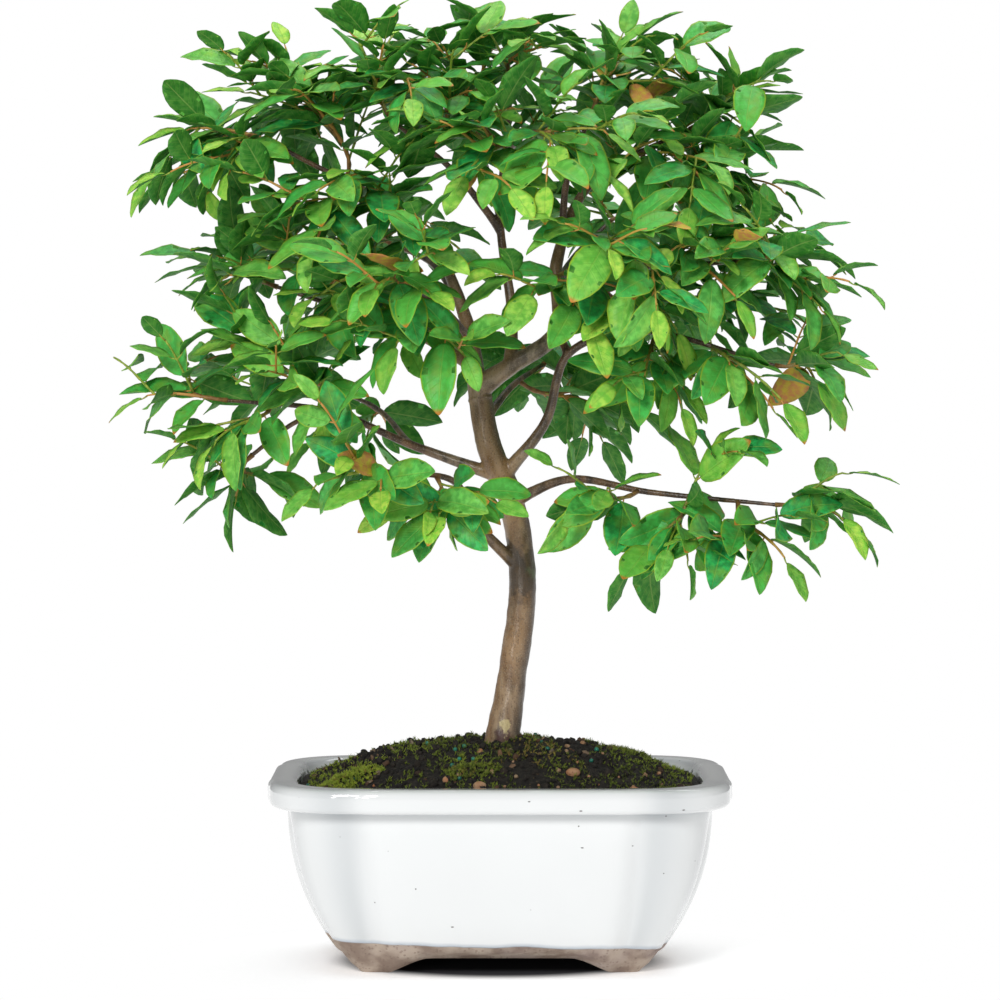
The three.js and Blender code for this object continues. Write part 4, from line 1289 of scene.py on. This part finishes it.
def line_through(points):
    """A centripetal Catmull-Rom line, which passes through its points without loops or overshoot."""
    points = np.array(points)
    padded = np.array([2 * points[0] - points[1], *points, 2 * points[-1] - points[-2]])

    def point_at(share):
        place = share * (len(points) - 1)
        leg = min(int(place), len(points) - 2)
        weight = place - leg
        p0, p1, p2, p3 = padded[leg : leg + 4]
        d0, d1, d2 = (math.sqrt(np.linalg.norm(b - a)) for a, b in ((p0, p1), (p1, p2), (p2, p3)))
        start = ((p1 - p0) / d0 - (p2 - p0) / (d0 + d1) + (p2 - p1) / d1) * d1
        end = ((p2 - p1) / d1 - (p3 - p1) / (d1 + d2) + (p3 - p2) / d2) * d1
        square = 3 * (p2 - p1) - 2 * start - end
        cube = 2 * (p1 - p2) + start + end
        return p1 + weight * (start + weight * (square + weight * cube))

    return Line(point_at)


def arching_line(start, early, late, tip):
    """A cubic Bezier line."""

    def point_at(t):
        return (1 - t) ** 3 * start + 3 * t * (1 - t) ** 2 * early + 3 * t * t * (1 - t) * late + t**3 * tip

    return Line(point_at)


# %% Lines of the limbs
BARK_GAP = 0.3 * MM


def tree_point(place):
    return np.array(place[:3]) * MM + [0, 0, POT_TOP]


limb_lines = {}
for name, limb in LIMBS.items():
    points = [tree_point(place) for place in limb["route"]]
    if "parent" in limb:
        axis = limb_lines[limb["parent"]].samples
        points[0] = axis[np.argmin(np.linalg.norm(axis - points[0], axis=1))]
    limb_lines[name] = line_through(points)


def limb_radius(name, parameter):
    radii = [place[3] * MM for place in LIMBS[name]["route"]]
    return np.interp(parameter, np.linspace(0, 1, len(radii)), radii)


print("wood in mm:", round(sum(line.length for line in limb_lines.values()) / MM))

# %% [markdown]
# ### Trunk and limbs
# A young tree of this kind has smooth bark that stretches over every fork, with a slight collar where a
# limb leaves. Separate tubes would show a seam at each fork. So fine tubes with flared feet are joined,
# and a voxel remesh and a little smoothing turn them into one skin. Low swellings are then pushed out of
# it.

# %% Tubes of the wood
COLLAR = 0.42
COLLAR_LENGTH = 4.5 * MM
ROOT_COUNT = 6
ROOT_SPREAD = 30 * MM
ROOT_RADIUS = 3.6 * MM
ROOT_STEPS = [(0.1, 8), (0.35, 12), (0.7, 20), (1, 32)]


def limb_tube(name):
    line = limb_lines[name]
    steps = max(16, round(line.length / (1.6 * MM)))
    shares = np.linspace(0, 1, steps)
    centres = np.array([line.point(share) for share in shares])
    radii = np.array([limb_radius(name, line.parameter(share)) for share in shares])
    if "parent" in LIMBS[name]:
        radii = radii * (1 + COLLAR * np.exp(-shares * line.length / COLLAR_LENGTH))
    radii = radii * (1 + 0.045 * roughness_at(centres, 90, 2))
    return tube_body(centres, radii, 28 if name == "trunk" else 14)


def root_tube(index):
    turn = 2 * math.pi * (index + 0.3) / ROOT_COUNT
    points = []
    for share, depth in ROOT_STEPS:
        reach = share * ROOT_SPREAD
        points.append((math.cos(turn) * reach, math.sin(turn) * reach, POT_TOP - depth * MM))
    line = line_through(points)
    shares = np.linspace(0, 1, 14)
    centres = np.array([line.point(share) for share in shares])
    return tube_body(centres, ROOT_RADIUS * (1 - 0.6 * shares), 12)


# %% One skin over all the wood
WOOD_VOXEL = 0.56 * MM
YOUNG_RADIUS = 0.9 * MM
OLD_RADIUS = 4.1 * MM


def make_wood():
    tubes = [limb_tube(name) for name in LIMBS] + [root_tube(index) for index in range(ROOT_COUNT)]
    wood = piece_from("trunk_and_limbs_bark", joined_bodies(tubes), [])
    skin = wood.modifiers.new("skin", "REMESH")
    skin.mode = "VOXEL"
    skin.voxel_size = WOOD_VOXEL
    soften = wood.modifiers.new("soften", "SMOOTH")
    soften.factor = 0.5
    soften.iterations = 4
    apply_modifiers(wood)
    return wood


def wood_axis():
    """Points along every limb, with the wood's radius and a number for the limb at each."""
    points, radii, numbers = [], [], []
    for number, name in enumerate(LIMBS):
        line = limb_lines[name]
        points.append(line.samples)
        radii.append(limb_radius(name, line.steps))
        numbers.append(np.full(len(line.samples), number / len(LIMBS)))
    return np.concatenate(points), np.concatenate(radii), np.concatenate(numbers)


def mark_wood(wood):
    """Marks each point with its limb's thinness, number and left side, which sets a warmer left side and
    painted shade on the right in the bark, and swells the skin by noise.
    """
    axis, radii, numbers = wood_axis()
    points = mesh_numbers(wood.data.vertices, "co")
    nearest = nearest_of(axis, points)
    leftwards = np.clip((axis[nearest] - points)[:, 0] / radii[nearest], -1, 1) / 2 + 0.5
    thin = 1 - np.clip((radii[nearest] - YOUNG_RADIUS) / (OLD_RADIUS - YOUNG_RADIUS), 0, 1)
    marks = np.column_stack([thin, numbers[nearest], leftwards])
    wood.data.attributes.new("bark_nature", "FLOAT_VECTOR", "POINT").data.foreach_set("vector", marks.ravel())
    normals = mesh_numbers(wood.data.vertex_normals, "vector")
    swell = roughness_at(points * [1, 1, 0.6], 240, 3) * 0.035 * radii[nearest]
    wood.data.vertices.foreach_set("co", (points + normals * swell[:, None]).ravel())
    wood.data.shade_smooth()


# %% Bark
SCAR = (2 * MM, -7.5 * MM, 105 * MM)
KNOT = (1.5 * MM, -7.8 * MM, 100.5 * MM)
FORK_DARK_PATCH = (12 * MM, -4 * MM, 172 * MM)
LICHEN = (17 * MM, -3 * MM, 173 * MM)


def spot(tree, place, radius, soft, waver=0.0):
    """1 near a place on the object, easing to 0. waver makes its outline irregular."""
    away = node(tree, "ShaderNodeVectorMath", {0: object_place(tree), 1: place}, operation="DISTANCE")
    cloud = node(tree, "ShaderNodeTexNoise", {"Vector": object_place(tree), "Scale": 330.0, "Detail": 3.0})
    swing = maths(tree, "MULTIPLY", maths(tree, "SUBTRACT", cloud.outputs["Fac"], 0.5), 2 * waver)
    distance = maths(tree, "ADD", away.outputs["Value"], swing)
    return eased(tree, distance, radius - soft, radius + soft, 1.0, 0.0)


def stained(tree, base, place, sizes, strength, tint):
    """A base colour with a tint laid over one place. sizes are the radius, soft edge and waver."""
    return tinted(tree, base, spot(tree, place, *sizes), strength, tint)


def make_bark():
    material, tree, shader = new_material("smooth_young_bark")
    thin, _, leftwards = attribute(tree, "bark_nature")[:3]
    clouds = mottled(tree, 210.0, 6.0, 0.36, 0.64, 0.4)
    patches = mottled(tree, 42.0, 4.0, 0.42, 0.6, 0.4)
    pale_dots = speckled(tree, 1500.0, 0.45, 0.45, 1.4)
    dark_dots = speckled(tree, 1250.0, 0.46, 0.5, 0.7)
    old_bark_and_painted_side_shade = blended(tree, clouds, colour(92, 78, 60), colour(166, 146, 120))
    warm_side = eased(tree, leftwards, 0.6, 1)
    warm = maths(tree, "MULTIPLY", maths(tree, "MAXIMUM", patches, warm_side), 0.6)
    old_bark_and_painted_side_shade = blended(tree, warm, old_bark_and_painted_side_shade, colour(152, 108, 58))
    # painted shade: the trunk's right side is darkened in the bark's colour
    old_bark_and_painted_side_shade = blended(tree, eased(tree, leftwards, 0.05, 0.4, 0.75, 0.0), old_bark_and_painted_side_shade, colour(76, 62, 46))
    young = blended(tree, clouds, colour(60, 42, 32), colour(116, 84, 58))
    base = blended(tree, eased(tree, thin, 0.35, 0.75), old_bark_and_painted_side_shade, young)
    base = tinted(tree, base, dark_dots, 0.35, colour(58, 42, 34))
    base = tinted(tree, base, pale_dots, 0.35, colour(196, 174, 148))
    # a darker patch round the low left limb's fork
    base = stained(tree, base, FORK_DARK_PATCH, (11 * MM, 5 * MM, 9 * MM), 0.75, colour(58, 48, 34))
    base = stained(tree, base, LICHEN, (4 * MM, 2 * MM, 6 * MM), 0.7, colour(98, 112, 74))
    base = stained(tree, base, KNOT, (3.8 * MM, 0.9 * MM, 3 * MM), 0.85, colour(80, 50, 48))
    base = stained(tree, base, SCAR, (2.6 * MM, 0.7 * MM, 6 * MM), 0.8, colour(204, 186, 134))
    relief = maths(tree, "ADD", maths(tree, "MULTIPLY", clouds, 0.7), maths(tree, "MULTIPLY", pale_dots, 0.5))
    relief = maths(tree, "SUBTRACT", relief, maths(tree, "MULTIPLY", dark_dots, 0.35))
    roughness = eased(tree, clouds, 0, 1, 0.44, 0.32)
    set_finish(
        tree, shader, relief, 0.0002,
        Base_Color=base, Roughness=roughness, Coat_Weight=0.35, Coat_Roughness=0.3,
    )
    return material


wood = make_wood()
mark_wood(wood)
wood.data.materials.clear()
wood.data.materials.append(make_bark())
settle(wood, "bark", "trunk_and_limbs")

# %% [markdown]
# ### Where the leaves stand
# A shoot's main twig and side twigs start from its table entry. Each twig bears opposite pairs over three
# quarters of its length and one leaf at its tip. A run of repeatable draws turns, tilts and sizes each
# leaf.

# %% Sizes of twigs and leaves
TWIG_RADIUS = 0.95 * MM
TWIG_TIP_RADIUS = 0.5 * MM
TWIG_ARCH = 0.1
TWIG_DEPARTURE = 0.3
TWIG_BEND = 0.62
TWIG_STEPS = 3
FIRST_FORK = 0.3
FORK_SPACING = 0.15
LEAF_LENGTH = 25 * MM
LEAF_WIDTH_SHARE = 0.47
LEAF_SPACING = 13 * MM
LEAFY_SHARE = 0.75
LEAF_ANGLE = 0.95
ANGLE_SPREAD = 0.5
PAIR_TURNS = (-0.4, 0.5)
TURN_SPREAD = 0.9
LEAF_DROOP = 0.15
DROOP_SPREAD = 0.35
SMALLEST_LEAF = 0.78
SIZE_SPREAD = 0.42
TIP_LEAF = 0.85
FACING_OUT = 0.65
FACING_UP = 0.75
FACING_SPREAD = 0.9
CROWN_CENTRE = np.array([0, 0, POT_TOP + 200 * MM])


# %% The growth rule
def draws_from(seed):
    """Repeatable draws from 0 to 1; each shoot has its own run of them."""
    state = (seed * 7919 + 104729) % 2**32
    while True:
        state = (state * 1664525 + 1013904223) % 2**32
        yield state / 2**32


def turned(vector, axis, angle):
    cosine, sine = math.cos(angle), math.sin(angle)
    return vector * cosine + np.cross(axis, vector) * sine + axis * axis.dot(vector) * (1 - cosine)


def flattened(vector, normal):
    """The part of a vector that lies across a normal, at length 1."""
    return unit(vector - normal * vector.dot(normal))


def shoot_start(name, share, tip):
    line = limb_lines[name]
    axis, along = line.point(share), line.tangent(share)
    if share == 1:
        return axis + along * BARK_GAP, along
    leaving = flattened(tip - axis, along)
    return axis + leaving * (limb_radius(name, line.parameter(share)) + BARK_GAP), leaving


def twig_line(start, leaving, tip):
    length = np.linalg.norm(tip - start)
    early = start + leaving * TWIG_DEPARTURE * length
    late = start + (tip - start) * TWIG_BEND + [0, 0, TWIG_ARCH * length]
    return arching_line(start, early, late, tip)


def on_straight_twig(line, share):
    step = min(int(share * TWIG_STEPS), TWIG_STEPS - 1)
    low, high = line.point(step / TWIG_STEPS), line.point((step + 1) / TWIG_STEPS)
    return low + (high - low) * (share * TWIG_STEPS - step)


def shoot_twigs(name, share, tips):
    """The lines of one shoot: its main twig, then its side twigs."""
    tip, *side_tips = [tree_point(place) for place in tips]
    main = twig_line(*shoot_start(name, share, tip), tip)
    twigs = [main]
    for index, side_tip in enumerate(side_tips):
        fork = FIRST_FORK + FORK_SPACING * index
        twigs.append(twig_line(on_straight_twig(main, fork), main.tangent(fork), side_tip))
    return twigs


def leaf_places(line, draw, droop):
    """Each leaf's place along its twig, the way it points, the way it faces, and its length."""
    pairs = max(2, math.floor(LEAFY_SHARE * line.length / LEAF_SPACING + 0.5))
    places = []
    for pair in range(pairs + 1):
        share = 1 - LEAFY_SHARE * (pairs - pair) / pairs
        along = line.tangent(share)
        sideways = unit(np.cross(along, [0, 0, 1]))
        for hand in [0] if pair == pairs else [-1, 1]:
            roll, spread, size, lean, twist = (next(draw) for _ in range(5))
            side = turned(sideways, along, PAIR_TURNS[pair % 2] + TURN_SPREAD * (roll - 0.5))
            angle = LEAF_ANGLE + ANGLE_SPREAD * (spread - 0.5)
            direction = along * (math.cos(angle) if hand else 1) + side * hand * math.sin(angle)
            direction = unit(direction - [0, 0, droop + DROOP_SPREAD * lean])
            facing = unit(line.point(share) - CROWN_CENTRE) * FACING_OUT
            tilt = [FACING_SPREAD * (twist - 0.5), FACING_SPREAD * (roll - 0.5), FACING_UP]
            facing = flattened(facing + tilt, direction)
            length = LEAF_LENGTH * (SMALLEST_LEAF + SIZE_SPREAD * size) * (1 if hand else TIP_LEAF)
            places.append((share, direction, facing, length))
    return places


# %% [markdown]
# ### One leaf
# A leaf is a thin sheet: widest a third of the way along, folded a little along its midrib, curled down
# towards the tip, and rippled at the margin. Its top and underside are two grids of points joined round
# the margin, so it is a closed body with a real thickness. Three marks tell the material where a point
# is: along the leaf, across it, and on which side. Each leaf also has its own cell for baked colour.

# %% Grid of a leaf
LEAF_THICKNESS = 0.26 * MM
STATIONS = (1 - np.cos(np.linspace(0, np.pi, 11))) / 2
COLUMNS = np.array([-1, -0.55, 0, 0.55, 1])
STALK_LENGTH = 2.6 * MM
STALK_SIDES = 6
STALK_RADIUS = 0.42 * MM
MIDRIB_REACH = 1.7  # stalk lengths that the stalk and midrib run together
SHEET_SHARE = 0.47  # of the cell's height, for each of the leaf's two sheets


def leaf_grid_faces():
    """Faces of the top, the underside and the margin, and the place of each corner in the leaf's cell."""
    rows, width = len(STATIONS), len(COLUMNS)
    index = np.arange(rows * width).reshape(rows, width)
    below = index + rows * width
    corners = (index[:-1, :-1], index[1:, :-1], index[1:, 1:], index[:-1, 1:])
    top = np.stack([corner.ravel() for corner in corners], axis=1)
    bottom = below.ravel()[top][:, ::-1]
    border = [*index[:, 0], *index[-1, 1:], *index[-2::-1, -1], *index[0, -2:0:-1]]
    margin = [(b, a, a + rows * width, b + rows * width) for a, b in zip(border, border[1:] + border[:1])]
    faces = [tuple(int(i) for i in face) for face in (*top, *bottom, *margin)]
    flat = np.stack(np.meshgrid(STATIONS, (COLUMNS + 1) / 2, indexing="ij"), axis=-1).reshape(-1, 2)
    cell = np.concatenate([flat * [1, SHEET_SHARE], flat * [1, SHEET_SHARE] + [0, 1 - SHEET_SHARE]])
    return faces, cell


LEAF_FACES, LEAF_CELL = leaf_grid_faces()
print("faces in a leaf:", len(LEAF_FACES))


def leaf_body(base, direction, facing, length, nature, chance):
    """One leaf on its stalk's end. chance gives the draws for its own curl, fold, ripple and width."""
    along, across = STATIONS[:, None], COLUMNS[None, :]
    width = length * LEAF_WIDTH_SHARE * chance.uniform(0.92, 1.22)
    outline = (along + 0.004) ** 0.62 * (1.0 - along + 0.002) ** 0.8
    half = width / 2 * outline / outline.max()
    fold, curl = chance.uniform(0.08, 0.45), chance.uniform(0.0, 0.65)
    sweep = chance.uniform(-0.25, 0.25)
    bend = curl * STATIONS**1.3
    steps = np.diff(STATIONS, prepend=0) * length
    forward, drop = np.cumsum(np.cos(bend) * steps)[:, None], np.cumsum(np.sin(bend) * steps)[:, None]
    ripple = 0.09 * np.sin(2 * np.pi * (2.1 * along + chance.random() + 0.2 * np.sign(across)))
    lift = abs(across) * half * math.sin(fold) + ripple * across**2 * half
    side = across * half * math.cos(fold) + sweep * along**2 * length * 0.5
    thickness = LEAF_THICKNESS / 2 * (1 - 0.6 * across**2)
    over = unit(np.cross(facing, direction))
    cosine, sine = np.cos(bend)[:, None, None], np.sin(bend)[:, None, None]
    out = cosine * facing + sine * direction
    middle = forward[..., None] * direction - drop[..., None] * facing + side[..., None] * over
    sheets = [base + middle + (lift + hand * thickness)[..., None] * out for hand in (1, -1)]
    points = np.concatenate([sheet.reshape(-1, 3) for sheet in sheets])
    spread = np.broadcast_arrays(along, across)
    places = [np.stack([*spread, np.full(lift.shape, under)], axis=-1) for under in (0.0, 1.0)]
    place_marks = np.concatenate([place.reshape(-1, 3) for place in places])
    marks = {"leaf_place": place_marks, "leaf_nature": np.tile(nature, (len(points), 1))}
    return {**body_of(points, LEAF_FACES, marks), "cell": LEAF_CELL}


def stalk_body(centres, radii, shade, ages):
    """A thin closed tube of twig or leaf stalk. ages are how young it is at its foot and at its end."""
    body = tube_body(centres, radii, STALK_SIDES)
    rows = np.repeat(np.linspace(0, 1, len(centres)), STALK_SIDES)
    turns = np.tile(np.linspace(0, 1, STALK_SIDES), len(centres))
    young = ages[0] + (ages[1] - ages[0]) * rows
    place, nature = np.column_stack([young, turns, 0 * rows]), np.tile((shade, 0, 0), (len(rows), 1))
    marks = {"leaf_place": place, "leaf_nature": nature}
    return {**body, "marks": marks, "cell": np.column_stack([rows, 0.1 * turns])}


# %% [markdown]
# ### Sprays
# A spray is one shoot's twigs, leaf stalks and leaves in one object with two materials. Twigs are tan and
# woody at the foot and yellow-green at the tip. A leaf near a tip is young, so it is a lighter, yellower
# green.


# %% Twigs of a spray
TWIG_SEAT = 1.3 * MM
NODE_SWELL = 0.35


def twig_body(line, radius, seat, shade, ages):
    """A twig with small swellings where its leaves stand. seat carries its foot into the wood."""
    steps = max(6, round(line.length / (3 * MM)))
    shares = np.linspace(0, 1, steps)
    centres = np.array([line.point(share) for share in shares])
    centres[0] -= line.tangent(0) * seat
    radii = radius + (TWIG_TIP_RADIUS * 0.8 - radius) * shares
    radii = radii * (1 + NODE_SWELL * np.cos(shares * line.length / LEAF_SPACING * 2 * np.pi) ** 8)
    return stalk_body(centres, radii, shade, ages)


def leaf_stalk(base, facing, start, shade):
    """The short stalk from the twig to the blade, which it runs on under as the midrib."""
    shares = np.linspace(0, 1, 5)[:, None]
    sag = 0.16 * MM + 0.3 * MM * np.sin(np.pi * shares)
    centres = base + (start - base) * shares * MIDRIB_REACH - facing * sag
    return stalk_body(centres, STALK_RADIUS * (1 - 0.6 * shares[:, 0]), shade, (0.5, 1))


# %% Twiglets
TWIGLET_SPACING = 15 * MM
TWIGLET_SHARES = (0.16, 0.9)
TWIGLET_LENGTHS = (19 * MM, 34 * MM)
TWIGLET_SPLAY = (0.6, 1.2)
TWIGLET_ROLL = 1.3
THINNER_BELOW = (POT_TOP + 130 * MM, POT_TOP + 250 * MM)
THINNEST = 0.35
YOUNGER_LEAF = 0.92
YOUNGER_DROOP = -0.2
ROOM = 3 * MM
CLEARING_CENTRE = np.array([-4, 0]) * MM
CLEARING_RADIUS = 38 * MM
CLEARING_TOP = POT_TOP + 172 * MM


def is_open(point):
    """Whether a leaf may end here: inside the frame, and clear of the light gap round the trunk."""
    low, high = (np.array(corner) for corner in cad_bounds)
    inside = np.all(point > low - ROOM) and np.all(point < high + ROOM)
    near_trunk = np.linalg.norm(point[:2] - CLEARING_CENTRE) < CLEARING_RADIUS
    return inside and not (near_trunk and point[2] < CLEARING_TOP)


def twiglets_of(line, chance):
    """Short lines that leave a twig on one side and then the other."""
    shares = np.linspace(*TWIGLET_SHARES, max(2, round(line.length / TWIGLET_SPACING)))
    made = []
    for index, share in enumerate(shares):
        along, base = line.tangent(share), line.point(share)
        hand = 1 if index % 2 else -1
        side = turned(unit(np.cross(along, [0, 0, 1])), along, chance.uniform(-TWIGLET_ROLL, TWIGLET_ROLL))
        splay = chance.uniform(*TWIGLET_SPLAY)
        leaving = along * math.cos(splay) + hand * side * math.sin(splay)
        tip = base + leaving * chance.uniform(*TWIGLET_LENGTHS)
        low, high = THINNER_BELOW
        kept = THINNEST + (1 - THINNEST) * eased_share((tip[2] - low) / (high - low))
        if is_open(tip) and chance.random() < kept:
            made.append(twig_line(base, leaving, tip))
    return made


# %% Bodies of a spray
BLUSH_SHARE = 0.008
EXTRA_SEED = 500
CHANCE_SEED = 1000
CELL_MARGIN = 0.04


def leaves_on(line, draw, chance, shrink, droop):
    """The stalks and blades of the leaves along one twig."""
    bodies, finishes = [], []
    for share, direction, facing, length in leaf_places(line, draw, droop):
        base = line.point(share)
        start = base + direction * STALK_LENGTH
        young = np.clip((share - 0.5) / 0.5 + chance.normal(0, 0.2), 0, 1)
        size = length * shrink * (1.1 - 0.2 * young)
        nature = (chance.random(), young, float(chance.random() < BLUSH_SHARE))
        stalk = leaf_stalk(base, facing, start, chance.random())
        blade = leaf_body(start, direction, facing, size, nature, chance)
        tip = start + direction * size
        if is_open(tip) or (shrink == 1 and tip[2] < cad_bounds[1][2] + ROOM):
            bodies += [stalk, blade]
            finishes += [0, 1]
    return bodies, finishes


def leafy_twig(line, radius, seat, ages, draw, chance, shrink, droop):
    """A twig's body, then those of its leaves, with the material number of each."""
    blades, kinds = leaves_on(line, draw, chance, shrink, droop)
    return [twig_body(line, radius, seat, chance.random(), ages), *blades], [0, *kinds]


def spray_bodies(twigs, seed):
    """The bodies of a spray, with the material number of each."""
    draw, extra = draws_from(seed), draws_from(seed + EXTRA_SEED)
    chance = np.random.default_rng(CHANCE_SEED + seed)
    grown = []
    for number, line in enumerate(twigs):
        radius, seat = (0.75 * TWIG_RADIUS, 0) if number else (TWIG_RADIUS, TWIG_SEAT)
        grown.append(leafy_twig(line, radius, seat, (0, 1), draw, chance, 1, LEAF_DROOP))
        for twiglet in twiglets_of(line, chance):
            young = (0, (0.6, 1), extra, chance, YOUNGER_LEAF, YOUNGER_DROOP)
            grown.append(leafy_twig(twiglet, TWIG_TIP_RADIUS, *young))
    bodies = [body for twig, _ in grown for body in twig]
    return bodies, [kind for _, kinds in grown for kind in kinds]


def cell_corners(bodies):
    """Every face corner's place in the baked picture, with a square cell for each body."""
    side = math.ceil(math.sqrt(len(bodies)))
    corners = []
    for number, body in enumerate(bodies):
        cell = np.array([number % side, number // side])
        place = (body["cell"] * (1 - 2 * CELL_MARGIN) + CELL_MARGIN + cell) / side
        corners.append(place[np.concatenate([np.array(face) for face in body["faces"]])])
    return np.concatenate(corners)


# %% Twig and leaf finishes
def make_twig_finish():
    material, tree, shader = new_material("young_twig")
    along, shade = attribute(tree, "leaf_place")[0], attribute(tree, "leaf_nature")[0]
    clouds = mottled(tree, 500.0, 3.0, 0.3, 0.7)
    woody = blended(tree, clouds, colour(96, 68, 40), colour(158, 116, 66))
    green = blended(tree, clouds, colour(110, 138, 40), colour(160, 176, 66))
    tan = blended(tree, eased(tree, shade, 0.45, 0.9), green, colour(196, 140, 66))
    base = blended(tree, eased(tree, along, 0.05, 0.6), woody, tan)
    set_finish(tree, shader, clouds, 0.0001, Base_Color=base, Roughness=eased(tree, clouds, 0, 1, 0.45, 0.6))
    return material


def leaf_veins(tree, along, across):
    """Side veins that run out and forward from the midrib, as a mask."""
    out = maths(tree, "ABSOLUTE", across)
    phase = maths(tree, "SUBTRACT", maths(tree, "MULTIPLY", along, 9.0), maths(tree, "MULTIPLY", out, 1.9))
    wave = maths(tree, "PINGPONG", phase, 0.5)
    return eased(tree, wave, 0.0, 0.09, 1.0, 0.0)


def make_leaf_finish():
    material, tree, shader = new_material("bonsai_leaf")
    along, across, under = attribute(tree, "leaf_place")[:3]
    tone, young, blush = attribute(tree, "leaf_nature")[:3]
    out = maths(tree, "ABSOLUTE", across)
    clouds = mottled(tree, 330.0, 4.0, 0.35, 0.68)
    olive = mottled(tree, 140.0, 5.0, 0.46, 0.7)
    sunny = mottled(tree, 11.0, 1.0, 0.42, 0.62)
    deep = blended(tree, clouds, colour(26, 132, 66), colour(48, 188, 94))
    mature = tinted(tree, deep, tone, 0.7, colour(104, 196, 66))
    mature = tinted(tree, mature, olive, 0.6, colour(124, 168, 56))
    fresh = blended(tree, clouds, colour(134, 206, 66), colour(194, 230, 90))
    lighter = maths(tree, "MULTIPLY", young, eased(tree, sunny, 0, 1, 0.4, 0.95))
    top = blended(tree, lighter, mature, fresh)
    veins = leaf_veins(tree, along, across)
    top = tinted(tree, top, veins, 0.16, colour(110, 184, 66))
    midrib = eased(tree, out, 0.02, 0.07, 1.0, 0.0)
    top = tinted(tree, top, midrib, 0.4, colour(140, 190, 76))
    rim = maths(tree, "MULTIPLY", eased(tree, out, 0.86, 0.99), 0.75)
    top = blended(tree, rim, top, colour(166, 190, 40))
    scorched = maths(tree, "MULTIPLY", eased(tree, along, 0.9, 0.98), maths(tree, "GREATER_THAN", tone, 0.8))
    top = tinted(tree, top, scorched, 0.85, colour(208, 112, 40))
    pale = blended(tree, clouds, colour(48, 122, 40), colour(86, 150, 58))
    ribs = maths(tree, "MAXIMUM", midrib, maths(tree, "MULTIPLY", veins, 0.4))
    pale = tinted(tree, pale, ribs, 0.7, colour(138, 176, 90))
    sided = blended(tree, under, top, pale)
    ageing = blended(tree, clouds, colour(214, 132, 84), colour(214, 180, 62))
    base = tinted(tree, sided, blush, 0.85, ageing)
    relief = maths(tree, "ADD", maths(tree, "MULTIPLY", veins, -0.5), maths(tree, "MULTIPLY", clouds, 0.25))
    relief = maths(tree, "SUBTRACT", relief, maths(tree, "MULTIPLY", midrib, 0.8))
    set_finish(
        tree, shader, relief, 0.00016,
        Base_Color=base, Roughness=eased(tree, under, 0, 1, 0.46, 0.62), Specular_IOR_Level=0.3,
        Subsurface_Weight=0.12, Subsurface_Scale=0.0006, Subsurface_Radius=(0.4, 1.0, 0.2),
    )
    return material


# %% Grow the sprays
def make_spray(number, twigs, finishes):
    bodies, kinds = spray_bodies(twigs, number)
    whole = joined_bodies(bodies)
    face_kinds = np.repeat(kinds, [len(body["faces"]) for body in bodies])
    spray = piece_from(f"leafy_spray_{number:02d}", whole, finishes, face_kinds)
    layer = spray.data.uv_layers.new(name="OFBake")
    layer.data.foreach_set("uv", cell_corners(bodies).ravel())
    settle(spray, "leaf", f"leafy_shoot_{number:02d}")
    return sum(kinds)


spray_finishes = [make_twig_finish(), make_leaf_finish()]
shoots = [(name, share, tips) for name, limb in LIMBS.items() for share, *tips in limb["shoots"]]
leaf_counts = [
    make_spray(number, shoot_twigs(*shoot), spray_finishes) for number, shoot in enumerate(shoots, 1)
]
print("leaves:", sum(leaf_counts))

# %% [markdown]
# ## Floor and sizes
# The floor is a pale sheet, with a painted shadow under the pot and a faint glow beside it, which glows
# white further out. It isn't part of the object. The sizes of the frame and of the finished model are
# printed, so that they can be compared.

# %% Floor
FLOOR_SIDE = 6
FLOOR_SHADED = 0.058
FLOOR_WHITE = 0.11
FLOOR_GLOW = 0.3
# where the painted shadow under the pot fades out
PAINTED_SHADOW_UNDER_POT = (0.04, 0.056)

bpy.ops.mesh.primitive_plane_add(size=FLOOR_SIDE)
floor = bpy.context.object
floor.name = "floor"


def make_floor_finish():
    """A pale sheet round the pot, with a painted shadow under it and a faint glow that lightens the shade
    beside it, and glowing white further out, so that no horizon shows.
    """
    material, tree, shader = new_material("pale_floor_with_painted_shadow")
    oval = {0: object_place(tree), 1: (0.7, 1, 1)}
    place = node(tree, "ShaderNodeVectorMath", oval, operation="MULTIPLY").outputs[0]
    away = node(tree, "ShaderNodeVectorMath", {0: place}, operation="LENGTH").outputs["Value"]
    far = eased(tree, away, FLOOR_SHADED, FLOOR_WHITE)
    beyond_pot = eased(tree, away, *PAINTED_SHADOW_UNDER_POT)
    # painted shadow: dark grey under the pot, in the floor's colour
    paper_with_painted_shadow = blended(tree, beyond_pot, colour(70, 70, 74), colour(250, 250, 250))
    base = blended(tree, far, paper_with_painted_shadow, (0, 0, 0, 1))
    # a faint glow beside the pot lightens the floor's shade there; none under the pot
    near_glow = blended(tree, beyond_pot, (0, 0, 0, 1), (*[FLOOR_GLOW] * 3, 1))
    glow = blended(tree, far, near_glow, (1, 1, 1, 1))
    set_finish(
        tree, shader,
        Base_Color=base, Roughness=0.8, Specular_IOR_Level=0.0, Emission_Color=glow, Emission_Strength=1.0,
    )
    return material


floor.data.materials.append(make_floor_finish())
floor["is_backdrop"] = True

# %% Sizes and finish
sizes = {"cad": [list(corner) for corner in cad_bounds], "visual": [list(corner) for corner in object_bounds()]}
for name, corners in sizes.items():
    print(name, "box in mm:", [[round(side / MM, 1) for side in corner] for corner in corners])
